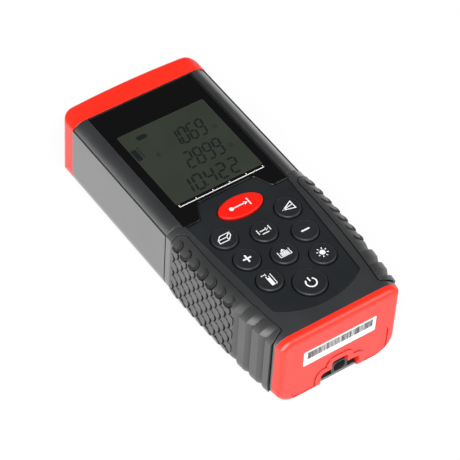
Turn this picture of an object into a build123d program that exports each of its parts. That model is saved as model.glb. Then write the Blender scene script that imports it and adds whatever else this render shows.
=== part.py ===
from build123d import *
import math
import os

# Handheld laser distance meter, millimetres, lying on its back.
# X across the case, Y along it towards the optics, Z up through the display.
# The origin is under the middle of the case, on the surface it rests on.

# ---- case ----
case_length = 118.0
case_height = 29.0
case_wall = 2.0
bottom_radius = 7.5
shoulder_run = 5.0
shoulder_drop = 2.0
crease_depth = 0.5
crease_drop = 0.4
groove_lead = 3.2
groove_width = 0.5
groove_depth = 0.45
parting_height = 8.0
overrun = 10.0
cut_over = 1.0
front_bulge = 1.0
front_corner = 4.0
half_width = 25.35
taper_start_y = -14.0
taper_radius = 286.0
front_cap_length = 8.2
rear_cap_length = 3.2
rear_edge_radius = 2.0
front_edge_radius = 1.2
part_gap = 0.2
move_gap = 0.3
tongue_length = 1.6
tongue_margin = 1.0

# ---- display ----
window_side_margin = 5.75
window_edge_chamfer = 0.2
window_thickness = 1.5
deck_thickness = 1.6
notch_half_width = 12.0
notch_height = 6.4
notch_slope = 1.5
notch_radius = 1.8
window_foot_margin = 10.0
glass_side_margin = 3.6
glass_view_height = 32.0
glass_view_margin = 12.8
glass_corner = 1.0
lcd_border = 2.0
lcd_thickness = 2.0
backlight_thickness = 1.4

# ---- keypad ----
keypad_thickness = 1.2
keypad_side_margin = 0.5
keypad_taper = 3.2
keypad_rear_margin = 13.0
keypad_bow = 5.0
keypad_corner_radius = 1.6
key_pitch_share = 0.2524
key_land = 2.05
key_column_margin = 7.2
key_column_inset = 1.0
key_middle_share = 0.4
measure_key_width = 16.0
measure_key_drop = 1.75
clear_key_spread = 2.3
clear_key_rise = 3.7
key_height = 0.8
key_flange = 0.8
key_flange_thickness = 1.2
key_nub_length = 0.8
key_nub_radius = 1.5
key_edge_radius = 0.6
dome_thickness = 0.2
dome_radius = 2.4

# ---- circuit board ----
board_thickness = 1.6
board_side_room = 6.15
board_front_room = 4.8
board_rear_room = 3.8
board_corner = 1.5
board_post_margin = 0.4
board_post_setback = 0.6
board_post_radius = 2.4
board_screw_radius = 0.95
board_screw_head_radius = 1.8
board_screw_head = 1.2
board_screw_reach = 2.4
buzzer_radius = 6.0
buzzer_height = 3.2
buzzer_y = -22.0

# ---- case screws ----
case_screw_radius = 1.1
case_screw_head_radius = 2.0
case_screw_head = 1.5
case_screw_sink = 2.2
case_post_radius = 2.6
case_post_height = 11.0
screw_thread_depth = 7.0
screw_side_room = 5.05
front_screw_room = 4.6
rear_screw_room = 5.0
screw_recess_share = 0.6
screw_recess_radius = 0.8

# ---- battery bay ----
cell_diameter = 10.5
cell_length = 44.5
cell_gap = 0.3
cell_nipple_radius = 1.9
cell_nipple = 0.8
contact_thickness = 0.3
contact_width = 8.4
contact_height = 7.4
spring_length = 2.0
spring_radius = 2.8
spring_tip_radius = 2.0
spring_wire = 0.9
bay_wall = 1.2
door_thickness = 2.4
door_overlap = 1.5
hinge_pin_radius = 0.8
hinge_pin_reach = 1.2
hinge_fit = 0.05
door_recess_length = 12.0
door_recess_width = 4.0
door_recess_depth = 0.8
door_recess_y = 5.0

# ---- optics ----
receiver_side_room = 2.1
optic_room = 1.85
receiver_wall = 1.4
receiver_lens_thickness = 3.2
receiver_length = 27.0
receiver_step_share = 0.4
lens_crown_share = 0.4
lens_setback = 0.5
receiver_tail_radius = 4.0
emitter_side_room = 2.3
emitter_radius = 4.4
emitter_lens_radius = 3.0
emitter_lens_thickness = 1.8
emitter_length = 22.0
diode_length = 5.0
optic_wall = 1.8
optic_plate_thickness = 0.8
optic_plate_width = 34.0
optic_plate_height = 17.0
optic_plate_sink = 1.6
sensor_board_size = 13.0
sensor_board_thickness = 1.2
bracket_thickness = 3.0
bracket_setback = 22.0
bracket_room = 0.9
bracket_corner = 1.5

# ---- grips ----
grip_foot_land = 1.4
grip_seam_land = 1.2
grip_rear_slant = 1.8
grip_gap = 0.35
grip_depth = 0.9
grip_proud = 0.3
grip_top_run = 4.4
grip_top_proud = 0.1
grip_foot_height = 4.0
grip_front_corner = 2.5
grip_rear_corner = 1.2
field_land = 2.9
rib_count = 3
rib_pitch = 5.7
rib_flat = 3.3
rib_rise = 0.3
rib_proud = 0.7
rib_dip = 0.45
rib_last_trim = 3.0
field_steps = 6

# ---- rear end ----
socket_x = 2.2
socket_width = 6.0
socket_base = 1.2
socket_sink = 1.5
socket_length = 5.0
socket_hole_width = 4.2
socket_hole_height = 3.8
socket_hole_corner = 1.3
socket_hole_share = 0.7
socket_corner = 0.8
ledge_height = 1.0
cutout_x = 1.3
cutout_width = 14.6
cutout_height = 6.0
cutout_corner = 1.6
cutout_tower_width = 6.0
cutout_tower_height = 9.4
cutout_tower_shift = -0.3
cutout_tower_corner = 1.2
field_centre_x = 1.0
field_width = 36.0
field_height = 12.8
field_centre_z = 7.7
field_corner = 3.0
field_sink = 0.3
field_rim = 2.0
label_width = 27.0
label_height = 6.6
label_centre_z = 18.0
label_thickness = 0.15
label_sink = 0.2
label_corner = 0.5

# ---- derived levels and stations ----
front_y = case_length / 2
rear_y = -case_length / 2
front_seam_y = front_y - front_cap_length
rear_seam_y = rear_y + rear_cap_length
shoulder_radius = (shoulder_run**2 + shoulder_drop**2) / (2 * shoulder_drop)
crease_run = shoulder_run - crease_depth
crease_fall = shoulder_drop + crease_drop
crease_radius = (crease_run**2 + crease_fall**2) / (2 * crease_fall)
crease_z = case_height - crease_fall
seat_z = case_height - window_thickness
deck_z = seat_z - deck_thickness
lcd_z = deck_z - lcd_thickness
board_top = lcd_z - backlight_thickness
board_bottom = board_top - board_thickness
keypad_top = seat_z + keypad_thickness
key_top = keypad_top + key_height
bay_half_width = cell_diameter + cell_gap * 1.5 + bay_wall
bay_length = cell_length + cell_nipple + spring_length + 2 * contact_thickness + 2 * bay_wall
socket_height = cutout_height - socket_base - part_gap
bay_rear_y = rear_y + socket_sink + socket_length + part_gap
bay_front_y = bay_rear_y + bay_length
cell_z = door_thickness + cell_gap + cell_diameter / 2
bay_top = cell_z + cell_diameter / 2 + cell_gap + bay_wall
cell_x = (cell_diameter + cell_gap) / 2
cell_front_y = bay_front_y - bay_wall - contact_thickness - cell_nipple
door_front_y = bay_front_y - door_overlap
door_rear_y = bay_rear_y + door_overlap
door_half_width = bay_half_width - bay_wall
hinge_z = door_thickness / 2
hinge_y = door_front_y - part_gap - door_thickness / 2
optic_front_y = front_y - optic_plate_sink - optic_wall
optic_height = (case_wall + board_bottom) / 2
receiver_radius = (board_bottom - case_wall) / 2 - optic_room
receiver_lens_radius = receiver_radius - receiver_wall
bracket_y = front_y - bracket_setback
bracket_height = board_bottom - bracket_room - case_wall
window_half_width = half_width - window_side_margin
glass_view_width = 2 * (window_half_width - glass_side_margin)
glass_view_y = front_seam_y - glass_view_margin - glass_view_height / 2
window_foot_y = glass_view_y - glass_view_height / 2 - window_foot_margin
board_half_width = half_width - case_wall - board_side_room
receiver_x = board_half_width - receiver_radius - receiver_side_room
emitter_x = -(board_half_width - emitter_radius - emitter_side_room)
board_front_y = front_seam_y - board_front_room
board_rear_y = rear_seam_y + board_rear_room
front_screw_y = front_seam_y - front_screw_room
rear_screw_y = rear_seam_y + rear_screw_room
keypad_half_top = window_half_width - keypad_side_margin
keypad_half_bottom = keypad_half_top - keypad_taper
keypad_corner_y = rear_y + keypad_rear_margin
key_row_pitch = key_pitch_share * (window_foot_y - part_gap - keypad_corner_y)
key_size = key_row_pitch - key_land
key_column_x = keypad_half_top - key_column_margin
key_middle_drop = key_middle_share * key_row_pitch
measure_key_y = window_foot_y - measure_key_drop
key_first_row_y = measure_key_y - key_size
clear_key_size = key_size + clear_key_spread
clear_key_y = keypad_corner_y + clear_key_rise
grip_front_y = window_foot_y - grip_foot_land
grip_rear_y = rear_seam_y + grip_seam_land
groove_y = grip_front_y + groove_lead
rib_first_y = grip_rear_y + rib_count * rib_pitch - rib_last_trim
field_end_y = rib_first_y + field_land

side_keys = (
    ("key_volume", -1, 0),
    ("key_indirect", 1, 0),
    ("key_plus", -1, 1),
    ("key_minus", 1, 1),
    ("key_reference", -1, 2),
    ("key_units", 1, 2),
)


def key_table():
    """Name, centre and size of every key."""
    rows = []
    for name, side, row in side_keys:
        x = side * (key_column_x - row * key_column_inset)
        y = key_first_row_y - row * key_row_pitch
        rows.append((name, x, y, key_size, key_size))
    for name, row in (("key_tracking", 0), ("key_area", 1)):
        y = key_first_row_y - row * key_row_pitch - key_middle_drop
        rows.append((name, 0, y, key_size, key_size))
    rows.append(("key_measure", 0, measure_key_y, measure_key_width, key_size))
    rows.append(("key_clear", 0, clear_key_y, clear_key_size, clear_key_size))
    return rows


keys = key_table()


def save(piece, name):
    """Label one finished piece and write it as its own file."""
    piece.part.label = name
    export_step(piece.part, f"parts/{name}.step")


# ---- the moulded form that every outer piece is cut from ----

def side_x(y, grow):
    """Half width of the plan outline at a station, grown by grow."""
    reach = max(0.0, taper_start_y - y)
    return half_width - taper_radius + math.sqrt((taper_radius + grow) ** 2 - reach**2)


def plan_outline(grow):
    """Plan outline: parallel by the display, then arcs that narrow to the rear."""
    front = front_y + overrun
    rear = rear_y - overrun
    middle = (taper_start_y + rear) / 2
    straight = half_width + grow
    with BuildSketch() as plan:
        with BuildLine():
            for side in (1, -1):
                Line((side * straight, front), (side * straight, taper_start_y))
                ThreePointArc(
                    (side * straight, taper_start_y),
                    (side * side_x(middle, grow), middle),
                    (side * side_x(rear, grow), rear),
                )
            Line((straight, front), (-straight, front))
            Line((side_x(rear, grow), rear), (-side_x(rear, grow), rear))
        make_face()
    return plan.sketch


def crown_form(grow, radius, level):
    """Upright prism whose long top edges roll over with one radius."""
    with BuildPart() as crown:
        with BuildSketch(Plane.XY.offset(-overrun)):
            add(plan_outline(grow))
        extrude(amount=overrun + level)
        fillet(long_edges(crown, level), radius)
    return crown.part


def housing_form(inset):
    """The moulded form, moved inwards by inset: upright walls, a rounded foot,
    and a rolled shoulder that meets the walls in a crease."""
    rolled = shoulder_radius - shoulder_run
    with BuildPart() as form:
        with BuildSketch(Plane.XY.offset(inset)):
            add(plan_outline(-inset))
        extrude(amount=case_height)
        fillet(long_edges(form, inset), bottom_radius - inset)
        add(
            crown_form(rolled - inset, shoulder_radius - inset, case_height - inset),
            mode=Mode.INTERSECT,
        )
    return form.part


def long_edges(builder, level):
    """The edges of a form that run its whole length at one level."""
    flat = builder.edges().filter_by_position(Axis.Z, level - 0.01, level + 0.01)
    return flat.filter_by(lambda edge: edge.bounding_box().size.Y > 1.0)


def plan_prism():
    """Upright prism with the bowed front edge and its rounded corners."""
    corner_y = front_y - front_bulge
    with BuildPart() as prism:
        with BuildSketch(Plane.XY.offset(-1)) as plan:
            with BuildLine():
                Polyline(
                    (-half_width, corner_y),
                    (-half_width, rear_y),
                    (half_width, rear_y),
                    (half_width, corner_y),
                )
                ThreePointArc(
                    (half_width, corner_y),
                    (0, front_y),
                    (-half_width, corner_y),
                )
            make_face()
            fillet(plan.vertices().group_by(Axis.Y)[-1], front_corner)
        extrude(amount=case_height + overrun)
    return prism.part


def slab(form, y_low, y_high, z_low, z_high):
    """The stretch of a form between two stations and two levels."""
    with BuildPart() as piece:
        add(form)
        with Locations((0, (y_low + y_high) / 2, (z_low + z_high) / 2)):
            Box(case_length, y_high - y_low, z_high - z_low, mode=Mode.INTERSECT)
    return piece.part


outer_form = housing_form(0)
inner_form = housing_form(case_wall)
with BuildPart() as ended:
    add(outer_form)
    add(plan_prism(), mode=Mode.INTERSECT)
outer_form = ended.part


# ---- outlines shared by the window, the keypad and their seat ----

def window_outline(gap):
    """Window outline with its notched lower edge, grown by gap."""
    half = window_half_width
    front = front_seam_y - part_gap
    foot = window_foot_y
    notch = window_foot_y + notch_height
    with BuildSketch() as outline:
        with BuildLine():
            Polyline(
                (half, front),
                (-half, front),
                (-half, foot),
                (-notch_half_width - notch_slope, foot),
                (-notch_half_width + notch_slope, notch),
                (notch_half_width - notch_slope, notch),
                (notch_half_width + notch_slope, foot),
                (half, foot),
                close=True,
            )
        make_face()
        fillet(outline.vertices().sort_by_distance((0, notch))[0:4], notch_radius)
        if gap > 0:
            offset(amount=gap)
    return outline.sketch


def keypad_outline(gap):
    """Keypad outline: under the window's edge, tapering to a bowed foot."""
    top = window_foot_y - part_gap
    peak = top + notch_height
    corner = keypad_corner_y
    with BuildSketch() as outline:
        with BuildLine():
            Polyline(
                (-keypad_half_bottom, corner),
                (-keypad_half_top, top),
                (-notch_half_width - notch_slope, top),
                (-notch_half_width + notch_slope, peak),
                (notch_half_width - notch_slope, peak),
                (notch_half_width + notch_slope, top),
                (keypad_half_top, top),
                (keypad_half_bottom, corner),
            )
            ThreePointArc(
                (keypad_half_bottom, corner),
                (0, corner - keypad_bow),
                (-keypad_half_bottom, corner),
            )
        make_face()
        fillet(outline.vertices().sort_by_distance((0, peak))[0:4], notch_radius)
        fillet(outline.vertices().group_by(Axis.Y)[0], keypad_corner_radius)
        if gap > 0:
            offset(amount=gap)
    return outline.sketch


def grip_zone(side, gap):
    """Upright prism that marks where a grip covers the side of the case."""
    front = grip_front_y + gap
    rear = grip_rear_y - gap
    middle = (front + rear) / 2
    run = grip_top_run + gap
    far = half_width + overrun
    front_inner = (side * side_x(front, -run), front)
    rear_inner = (side * side_x(rear, -run), rear + grip_rear_slant)
    with BuildPart() as zone:
        with BuildSketch(Plane.XY.offset(grip_foot_height - gap)) as plan:
            with BuildLine():
                Polyline(
                    front_inner,
                    (side * far, front),
                    (side * far, rear),
                    (side * side_x(rear, 0), rear),
                    rear_inner,
                )
                ThreePointArc(
                    rear_inner,
                    (side * side_x(middle, -run), middle),
                    front_inner,
                )
            make_face()
            fillet(plan.vertices().sort_by_distance(front_inner)[0], grip_front_corner + gap)
            fillet(plan.vertices().sort_by_distance(rear_inner)[0], grip_rear_corner + gap)
        extrude(amount=case_height)
    return zone.part


tongue_form = housing_form(case_wall + part_gap / 2)
root_form = housing_form(case_wall - part_gap)
tongue_core = housing_form(2 * case_wall)
tongue_low = parting_height + tongue_margin
tongue_high = deck_z - tongue_margin
grip_seat_form = housing_form(grip_depth)
groove_form = housing_form(groove_depth)


def grip_seat(side):
    """The layer of the case wall that a grip replaces, with a gap all round."""
    with BuildPart() as seat:
        add(grip_zone(side, grip_gap))
        add(grip_seat_form, mode=Mode.SUBTRACT)
    return seat.part


def grip_stations():
    """Stations along a grip and how proud its wall stands at each: a level field,
    then saw-tooth ribs that rise steeply at the front and slope in behind."""
    stations = []
    field_front = grip_front_y + cut_over
    for index in range(field_steps + 1):
        share = index / field_steps
        stations.append((field_front + share * (field_end_y - field_front), grip_proud))
    for index in range(rib_count):
        y = rib_first_y - index * rib_pitch
        stations.append((y, -rib_dip))
        stations.append((y - rib_rise, rib_proud))
        stations.append((y - rib_flat, rib_proud))
    return stations


def grip_section(side, y, proud):
    """Cross-section of one side of the case, its wall moved out by proud."""
    wall = side_x(y, 0) + proud
    flat = side_x(y, -shoulder_run) + proud
    core = flat - shoulder_run
    top = case_height + grip_top_proud
    foot_x = side_x(y, -bottom_radius)
    with BuildSketch(Plane.XZ.offset(-y)) as section:
        with BuildLine():
            Line((side * core, top), (side * flat, top))
            TangentArc((side * flat, top), (side * wall, top - shoulder_drop), tangent=(side, 0))
            Line((side * wall, top - shoulder_drop), (side * wall, bottom_radius))
            TangentArc((side * wall, bottom_radius), (side * foot_x, -proud), tangent=(0, -1))
            Polyline((side * foot_x, -proud), (side * core, -proud), (side * core, top))
        make_face()
    return section.sketch


def make_grip(side):
    """Soft overmould: a level field for the scales, then the saw-tooth ribs."""
    sections = [grip_section(side, y, proud) for y, proud in grip_stations()]
    with BuildPart() as grip:
        loft(sections=sections, ruled=True)
        add(grip_zone(side, 0), mode=Mode.INTERSECT)
        add(grip_seat_form, mode=Mode.SUBTRACT)
    return grip


# ---- case shells ----

def frame_groove():
    """Shallow groove over both shoulders and down both walls, beside the window."""
    reach = half_width + overrun - window_half_width
    height = case_height + cut_over - grip_foot_height
    middle = (grip_foot_height + case_height + cut_over) / 2
    with BuildPart() as groove:
        with Locations(
            (window_half_width + reach / 2, groove_y, middle),
            (-window_half_width - reach / 2, groove_y, middle),
        ):
            Box(reach, groove_width, height)
        add(groove_form, mode=Mode.SUBTRACT)
    return groove.part


def shoulder_crease():
    """What is cut from the shoulders beside the window: a small ledge at the top of
    each wall, where the roll of the shoulder begins."""
    length = front_seam_y + cut_over - groove_y
    with BuildPart() as cut:
        with Locations((0, groove_y + length / 2, crease_z + (crease_fall + cut_over) / 2)):
            Box(2 * (half_width + overrun), length, crease_fall + cut_over)
        add(
            crown_form(crease_radius - shoulder_run, crease_radius, case_height),
            mode=Mode.SUBTRACT,
        )
    return cut.part


def upper_case_posts():
    """Four screw posts of the upper half, each webbed to the wall beside it."""
    with BuildPart() as posts:
        with BuildSketch(Plane.XY.offset(parting_height)):
            with Locations(*case_screw_places()):
                Circle(case_post_radius)
            for x, y in case_screw_places():
                with Locations((math.copysign(abs(x) + case_post_radius, x), y)):
                    Rectangle(2 * case_post_radius, case_wall)
        extrude(amount=case_post_height)
        add(root_form, mode=Mode.INTERSECT)
    return posts.part


def lower_case_posts():
    """Four screw posts that rise from the floor to the parting line."""
    with BuildPart() as posts:
        with BuildSketch(Plane.XY.offset(case_wall)):
            with Locations(*case_screw_places()):
                Circle(case_post_radius)
        extrude(amount=parting_height - case_wall)
        add(outer_form, mode=Mode.INTERSECT)
    return posts.part


def make_upper_shell():
    """Upper half: walls, recessed deck for window and keypad, posts inside."""
    with BuildPart() as shell:
        add(slab(outer_form, rear_seam_y, front_seam_y, parting_height, case_height))
        add(
            slab(inner_form, rear_seam_y - cut_over, front_seam_y + cut_over, 0, deck_z),
            mode=Mode.SUBTRACT,
        )
        with BuildSketch(Plane.XY.offset(seat_z)):
            add(window_outline(part_gap))
            add(keypad_outline(part_gap))
        extrude(amount=case_height, mode=Mode.SUBTRACT)
        with BuildSketch(Plane.XY.offset(deck_z)):
            with Locations((0, glass_view_y)):
                RectangleRounded(glass_view_width, glass_view_height, glass_corner)
            for _, x, y, width, depth in keys:
                with Locations((x, y)):
                    Ellipse(width / 2 + move_gap, depth / 2 + move_gap)
        extrude(amount=deck_thickness, mode=Mode.SUBTRACT)
        with BuildSketch(Plane.XY.offset(board_top)):
            with Locations(*board_post_places()):
                Circle(board_post_radius)
        extrude(amount=deck_z - board_top)
        with BuildSketch(Plane.XY.offset(board_top)):
            with Locations(*board_post_places()):
                Circle(board_screw_radius)
        extrude(amount=board_screw_reach, mode=Mode.SUBTRACT)
        add(upper_case_posts())
        with BuildSketch(Plane.XY.offset(parting_height)):
            with Locations(*case_screw_places()):
                Circle(case_screw_radius)
        extrude(amount=screw_thread_depth, mode=Mode.SUBTRACT)
        add(shoulder_crease(), mode=Mode.SUBTRACT)
        add(frame_groove(), mode=Mode.SUBTRACT)
        add(grip_seat(1), mode=Mode.SUBTRACT)
        add(grip_seat(-1), mode=Mode.SUBTRACT)
    return shell


def case_screw_places():
    """Four screw axes that tie the two shells together."""
    places = []
    for side in (1, -1):
        for y in (front_screw_y, rear_screw_y):
            places.append((side * side_x(y, -screw_side_room), y))
    return places


def board_post_places():
    """Four screw axes that carry the main board under the deck."""
    x = board_half_width - board_post_radius - board_post_margin
    front = board_front_y - board_post_radius
    rear = board_rear_y + board_post_radius + board_post_setback
    return [(x, front), (x, rear), (-x, front), (-x, rear)]


def make_lower_shell():
    """Lower half: floor with the battery opening, screw posts, rear ledge."""
    door_y = (door_front_y + door_rear_y) / 2
    pin_reach = door_half_width + hinge_pin_reach + part_gap
    ledge_length = rear_cap_length - socket_sink
    with BuildPart() as shell:
        add(slab(outer_form, rear_seam_y, front_seam_y, 0, parting_height))
        add(
            slab(inner_form, rear_seam_y - cut_over, front_seam_y + cut_over, 0, parting_height + cut_over),
            mode=Mode.SUBTRACT,
        )
        add(lower_case_posts())
        with BuildSketch(Plane.XY):
            with Locations(*case_screw_places()):
                Circle(case_screw_radius + part_gap / 2)
        extrude(amount=parting_height, mode=Mode.SUBTRACT)
        with BuildSketch(Plane.XY):
            with Locations(*case_screw_places()):
                Circle(case_screw_head_radius + part_gap)
        extrude(amount=case_screw_sink + case_screw_head, mode=Mode.SUBTRACT)
        with BuildSketch(Plane.XY.offset(case_wall / 2)):
            with Locations((0, door_y)):
                Rectangle(2 * bay_half_width, bay_length)
        extrude(amount=door_thickness - case_wall / 2)
        with BuildSketch(Plane.XY):
            with Locations((0, door_y)):
                Rectangle(2 * door_half_width, door_front_y - door_rear_y)
        extrude(amount=door_thickness, mode=Mode.SUBTRACT)
        with BuildSketch(Plane.YZ.offset(-pin_reach)):
            with Locations((hinge_y, hinge_z)):
                Circle(hinge_pin_radius + hinge_fit)
        extrude(amount=2 * pin_reach, mode=Mode.SUBTRACT)
        with BuildSketch(Plane.XY.offset(socket_base - ledge_height)):
            with Locations((cutout_x, rear_seam_y - ledge_length / 2)):
                Rectangle(cutout_width - 2 * part_gap, ledge_length)
        extrude(amount=ledge_height)
        with BuildSketch(Plane.XY.offset(socket_base)):
            with Locations((socket_x, rear_y + socket_sink + socket_length / 2)):
                Rectangle(socket_width + 2 * part_gap, socket_length + 2 * part_gap)
        extrude(amount=socket_height, mode=Mode.SUBTRACT)
        add(frame_groove(), mode=Mode.SUBTRACT)
        add(grip_seat(1), mode=Mode.SUBTRACT)
        add(grip_seat(-1), mode=Mode.SUBTRACT)
    return shell


# ---- end caps ----

def front_rim_edges(cap):
    """The edges round the top of the bowed end wall of the front cap."""
    rim = []
    for edge in cap.edges():
        box = edge.bounding_box()
        lies_flat = box.size.X > part_gap or box.size.Y > part_gap
        if lies_flat and box.min.Y > front_seam_y + cut_over and box.min.Z > case_height / 2:
            rim.append(edge)
    return rim


def make_front_cap():
    """Front bumper: bowed end wall with the optics recess, tongues behind."""
    with BuildPart() as cap:
        add(slab(outer_form, front_seam_y, front_y + cut_over, 0, case_height))
        fillet(front_rim_edges(cap), front_edge_radius)
        add(slab(inner_form, front_seam_y - cut_over, optic_front_y, 0, case_height), mode=Mode.SUBTRACT)
        with BuildSketch(Plane.XZ.offset(-(front_y - optic_plate_sink))):
            with Locations((0, optic_height)):
                SlotOverall(optic_plate_width + 2 * part_gap, optic_plate_height + 2 * part_gap)
        extrude(amount=-case_length, mode=Mode.SUBTRACT)
        with BuildSketch(Plane.XZ.offset(-optic_front_y)):
            with Locations((receiver_x, optic_height)):
                Circle(receiver_lens_radius)
            with Locations((emitter_x, optic_height)):
                Circle(emitter_lens_radius)
        extrude(amount=-optic_wall, mode=Mode.SUBTRACT)
        add(
            cap_tongues(
                front_seam_y - tongue_length,
                front_seam_y,
                front_seam_y,
                front_seam_y + tongue_length,
            )
        )
    return cap


def cap_tongues(seam_in, seam_out, root_in, root_out):
    """Side tongues of a cap, one wall thick, that slide inside the shells."""
    with BuildPart() as tongues:
        add(slab(tongue_form, seam_in, seam_out, tongue_low, tongue_high))
        add(slab(root_form, root_in, root_out, tongue_low, tongue_high))
        add(tongue_core, mode=Mode.SUBTRACT)
    return tongues.part


def cutout_outline(grow):
    """Outline of the rear cut-out: a wide arch with a narrower tower over it."""
    with BuildSketch(Plane.XZ.offset(-rear_y)) as outline:
        with Locations((cutout_x, 0)):
            RectangleRounded(
                cutout_width + 2 * grow,
                2 * (cutout_height + grow),
                cutout_corner + grow,
            )
        with Locations((cutout_x + cutout_tower_shift, 0)):
            RectangleRounded(
                cutout_tower_width + 2 * grow,
                2 * (cutout_tower_height + grow),
                cutout_tower_corner + grow,
            )
    return outline.sketch


def make_rear_cap():
    """Rear bumper: flat datum wall with a sunk field, cut-out and label seat."""
    wall_y = rear_y + case_wall
    with BuildPart() as cap:
        add(slab(outer_form, rear_y, rear_seam_y, 0, case_height))
        fillet(cap.faces().sort_by(Axis.Y)[0].edges(), rear_edge_radius)
        add(slab(inner_form, wall_y, rear_seam_y + cut_over, 0, case_height), mode=Mode.SUBTRACT)
        with BuildSketch(Plane.XZ.offset(-rear_y)):
            with Locations((field_centre_x, field_centre_z)):
                RectangleRounded(field_width, field_height, field_corner)
            add(cutout_outline(field_rim), mode=Mode.SUBTRACT)
        extrude(amount=-field_sink, mode=Mode.SUBTRACT)
        with BuildSketch(Plane.XZ.offset(-rear_y)):
            add(cutout_outline(0))
        extrude(amount=-(rear_cap_length + cut_over), mode=Mode.SUBTRACT)
        with BuildSketch(Plane.XZ.offset(-rear_y)):
            with Locations((0, label_centre_z)):
                RectangleRounded(
                    label_width + 2 * part_gap,
                    label_height + 2 * part_gap,
                    label_corner + part_gap,
                )
        extrude(amount=-label_sink, mode=Mode.SUBTRACT)
        add(
            cap_tongues(
                rear_seam_y, rear_seam_y + tongue_length, rear_seam_y - cut_over, rear_seam_y
            )
        )
    return cap


def make_rating_label():
    """Bare white sticker, flush in its seat on the rear wall."""
    with BuildPart() as label:
        with BuildSketch(Plane.XZ.offset(-(rear_y + label_sink - label_thickness))):
            with Locations((0, label_centre_z)):
                RectangleRounded(label_width, label_height, label_corner)
        extrude(amount=-label_thickness)
    return label


def make_strap_eyelet():
    """Block behind the rear cut-out with a rounded hole for a wrist strap."""
    face_y = rear_y + socket_sink
    with BuildPart() as block:
        with BuildSketch(Plane.XZ.offset(-face_y)):
            with Locations((socket_x, socket_base + socket_height / 2)):
                RectangleRounded(socket_width, socket_height, socket_corner)
        extrude(amount=-socket_length)
        with BuildSketch(Plane.XZ.offset(-face_y)):
            with Locations((socket_x, socket_base + socket_height / 2)):
                RectangleRounded(socket_hole_width, socket_hole_height, socket_hole_corner)
        extrude(amount=-socket_length * socket_hole_share, mode=Mode.SUBTRACT)
    return block


# ---- display ----

def make_window():
    """Glossy cover window, flush with the rim of the deck recess."""
    with BuildPart() as window:
        with BuildSketch(Plane.XY.offset(seat_z)):
            add(window_outline(0))
        extrude(amount=window_thickness)
        chamfer(window.faces().sort_by(Axis.Z)[-1].edges(), window_edge_chamfer)
    return window


def make_lcd():
    """Liquid crystal panel pressed against the underside of the deck."""
    with BuildPart() as lcd:
        with BuildSketch(Plane.XY.offset(lcd_z)):
            with Locations((0, glass_view_y)):
                Rectangle(glass_view_width + 2 * lcd_border, glass_view_height + 2 * lcd_border)
        extrude(amount=lcd_thickness)
    return lcd


def make_backlight():
    """Light guide between the board and the panel."""
    with BuildPart() as guide:
        with BuildSketch(Plane.XY.offset(board_top)):
            with Locations((0, glass_view_y)):
                Rectangle(glass_view_width + lcd_border, glass_view_height + lcd_border)
        extrude(amount=backlight_thickness)
    return guide


# ---- keypad ----

def make_keypad_panel():
    """Thin panel around the keys, sunk a little below the rim."""
    with BuildPart() as panel:
        with BuildSketch(Plane.XY.offset(seat_z)):
            add(keypad_outline(0))
            for _, x, y, width, depth in keys:
                with Locations((x, y)):
                    Ellipse(width / 2 + move_gap, depth / 2 + move_gap, mode=Mode.SUBTRACT)
        extrude(amount=keypad_thickness)
    return panel


def make_key(x, y, width, depth):
    """One key: rounded cap, retaining flange under the deck, actuator nub."""
    flange_top = deck_z - move_gap
    flange_bottom = flange_top - key_flange_thickness
    with BuildPart() as key:
        with BuildSketch(Plane.XY.offset(flange_top)):
            with Locations((x, y)):
                Ellipse(width / 2, depth / 2)
        extrude(amount=key_top - flange_top)
        fillet(key.faces().sort_by(Axis.Z)[-1].edges(), key_edge_radius)
        with BuildSketch(Plane.XY.offset(flange_bottom)):
            with Locations((x, y)):
                Ellipse(width / 2 + key_flange, depth / 2 + key_flange)
        extrude(amount=key_flange_thickness)
        with BuildSketch(Plane.XY.offset(flange_bottom - key_nub_length)):
            with Locations((x, y)):
                Circle(key_nub_radius)
        extrude(amount=key_nub_length)
    return key


def make_dome_sheet():
    """Snap domes on the board, one under each key."""
    with BuildPart() as domes:
        with BuildSketch(Plane.XY.offset(board_top)):
            for _, x, y, _, _ in keys:
                with Locations((x, y)):
                    Circle(dome_radius)
        extrude(amount=dome_thickness)
    return domes


# ---- electronics ----

def make_main_board():
    """Main circuit board, screwed up against the posts of the upper shell."""
    length = board_front_y - board_rear_y
    with BuildPart() as board:
        with BuildSketch(Plane.XY.offset(board_bottom)):
            with Locations((0, (board_front_y + board_rear_y) / 2)):
                RectangleRounded(2 * board_half_width, length, board_corner)
            with Locations(*board_post_places()):
                Circle(board_screw_radius + part_gap / 2, mode=Mode.SUBTRACT)
        extrude(amount=board_thickness)
    return board


def make_board_screws():
    """Four self-tapping screws that hold the board."""
    with BuildPart() as screws:
        with BuildSketch(Plane.XY.offset(board_bottom - board_screw_head)):
            with Locations(*board_post_places()):
                Circle(board_screw_head_radius)
        extrude(amount=board_screw_head)
        with BuildSketch(Plane.XY.offset(board_bottom)):
            with Locations(*board_post_places()):
                Circle(board_screw_radius)
        extrude(amount=board_thickness + board_screw_reach)
    return screws


def make_case_screws():
    """Four screws from the back that close the case."""
    recess = screw_recess_share * case_screw_head
    with BuildPart() as screws:
        with BuildSketch(Plane.XY.offset(case_screw_sink)):
            with Locations(*case_screw_places()):
                Circle(case_screw_head_radius)
                RegularPolygon(screw_recess_radius, 6, mode=Mode.SUBTRACT)
        extrude(amount=recess)
        with BuildSketch(Plane.XY.offset(case_screw_sink + recess)):
            with Locations(*case_screw_places()):
                Circle(case_screw_head_radius)
        extrude(amount=case_screw_head - recess)
        with BuildSketch(Plane.XY.offset(case_screw_sink + case_screw_head)):
            with Locations(*case_screw_places()):
                Circle(case_screw_radius)
        extrude(amount=parting_height + screw_thread_depth - case_screw_sink - case_screw_head)
    return screws


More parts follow.
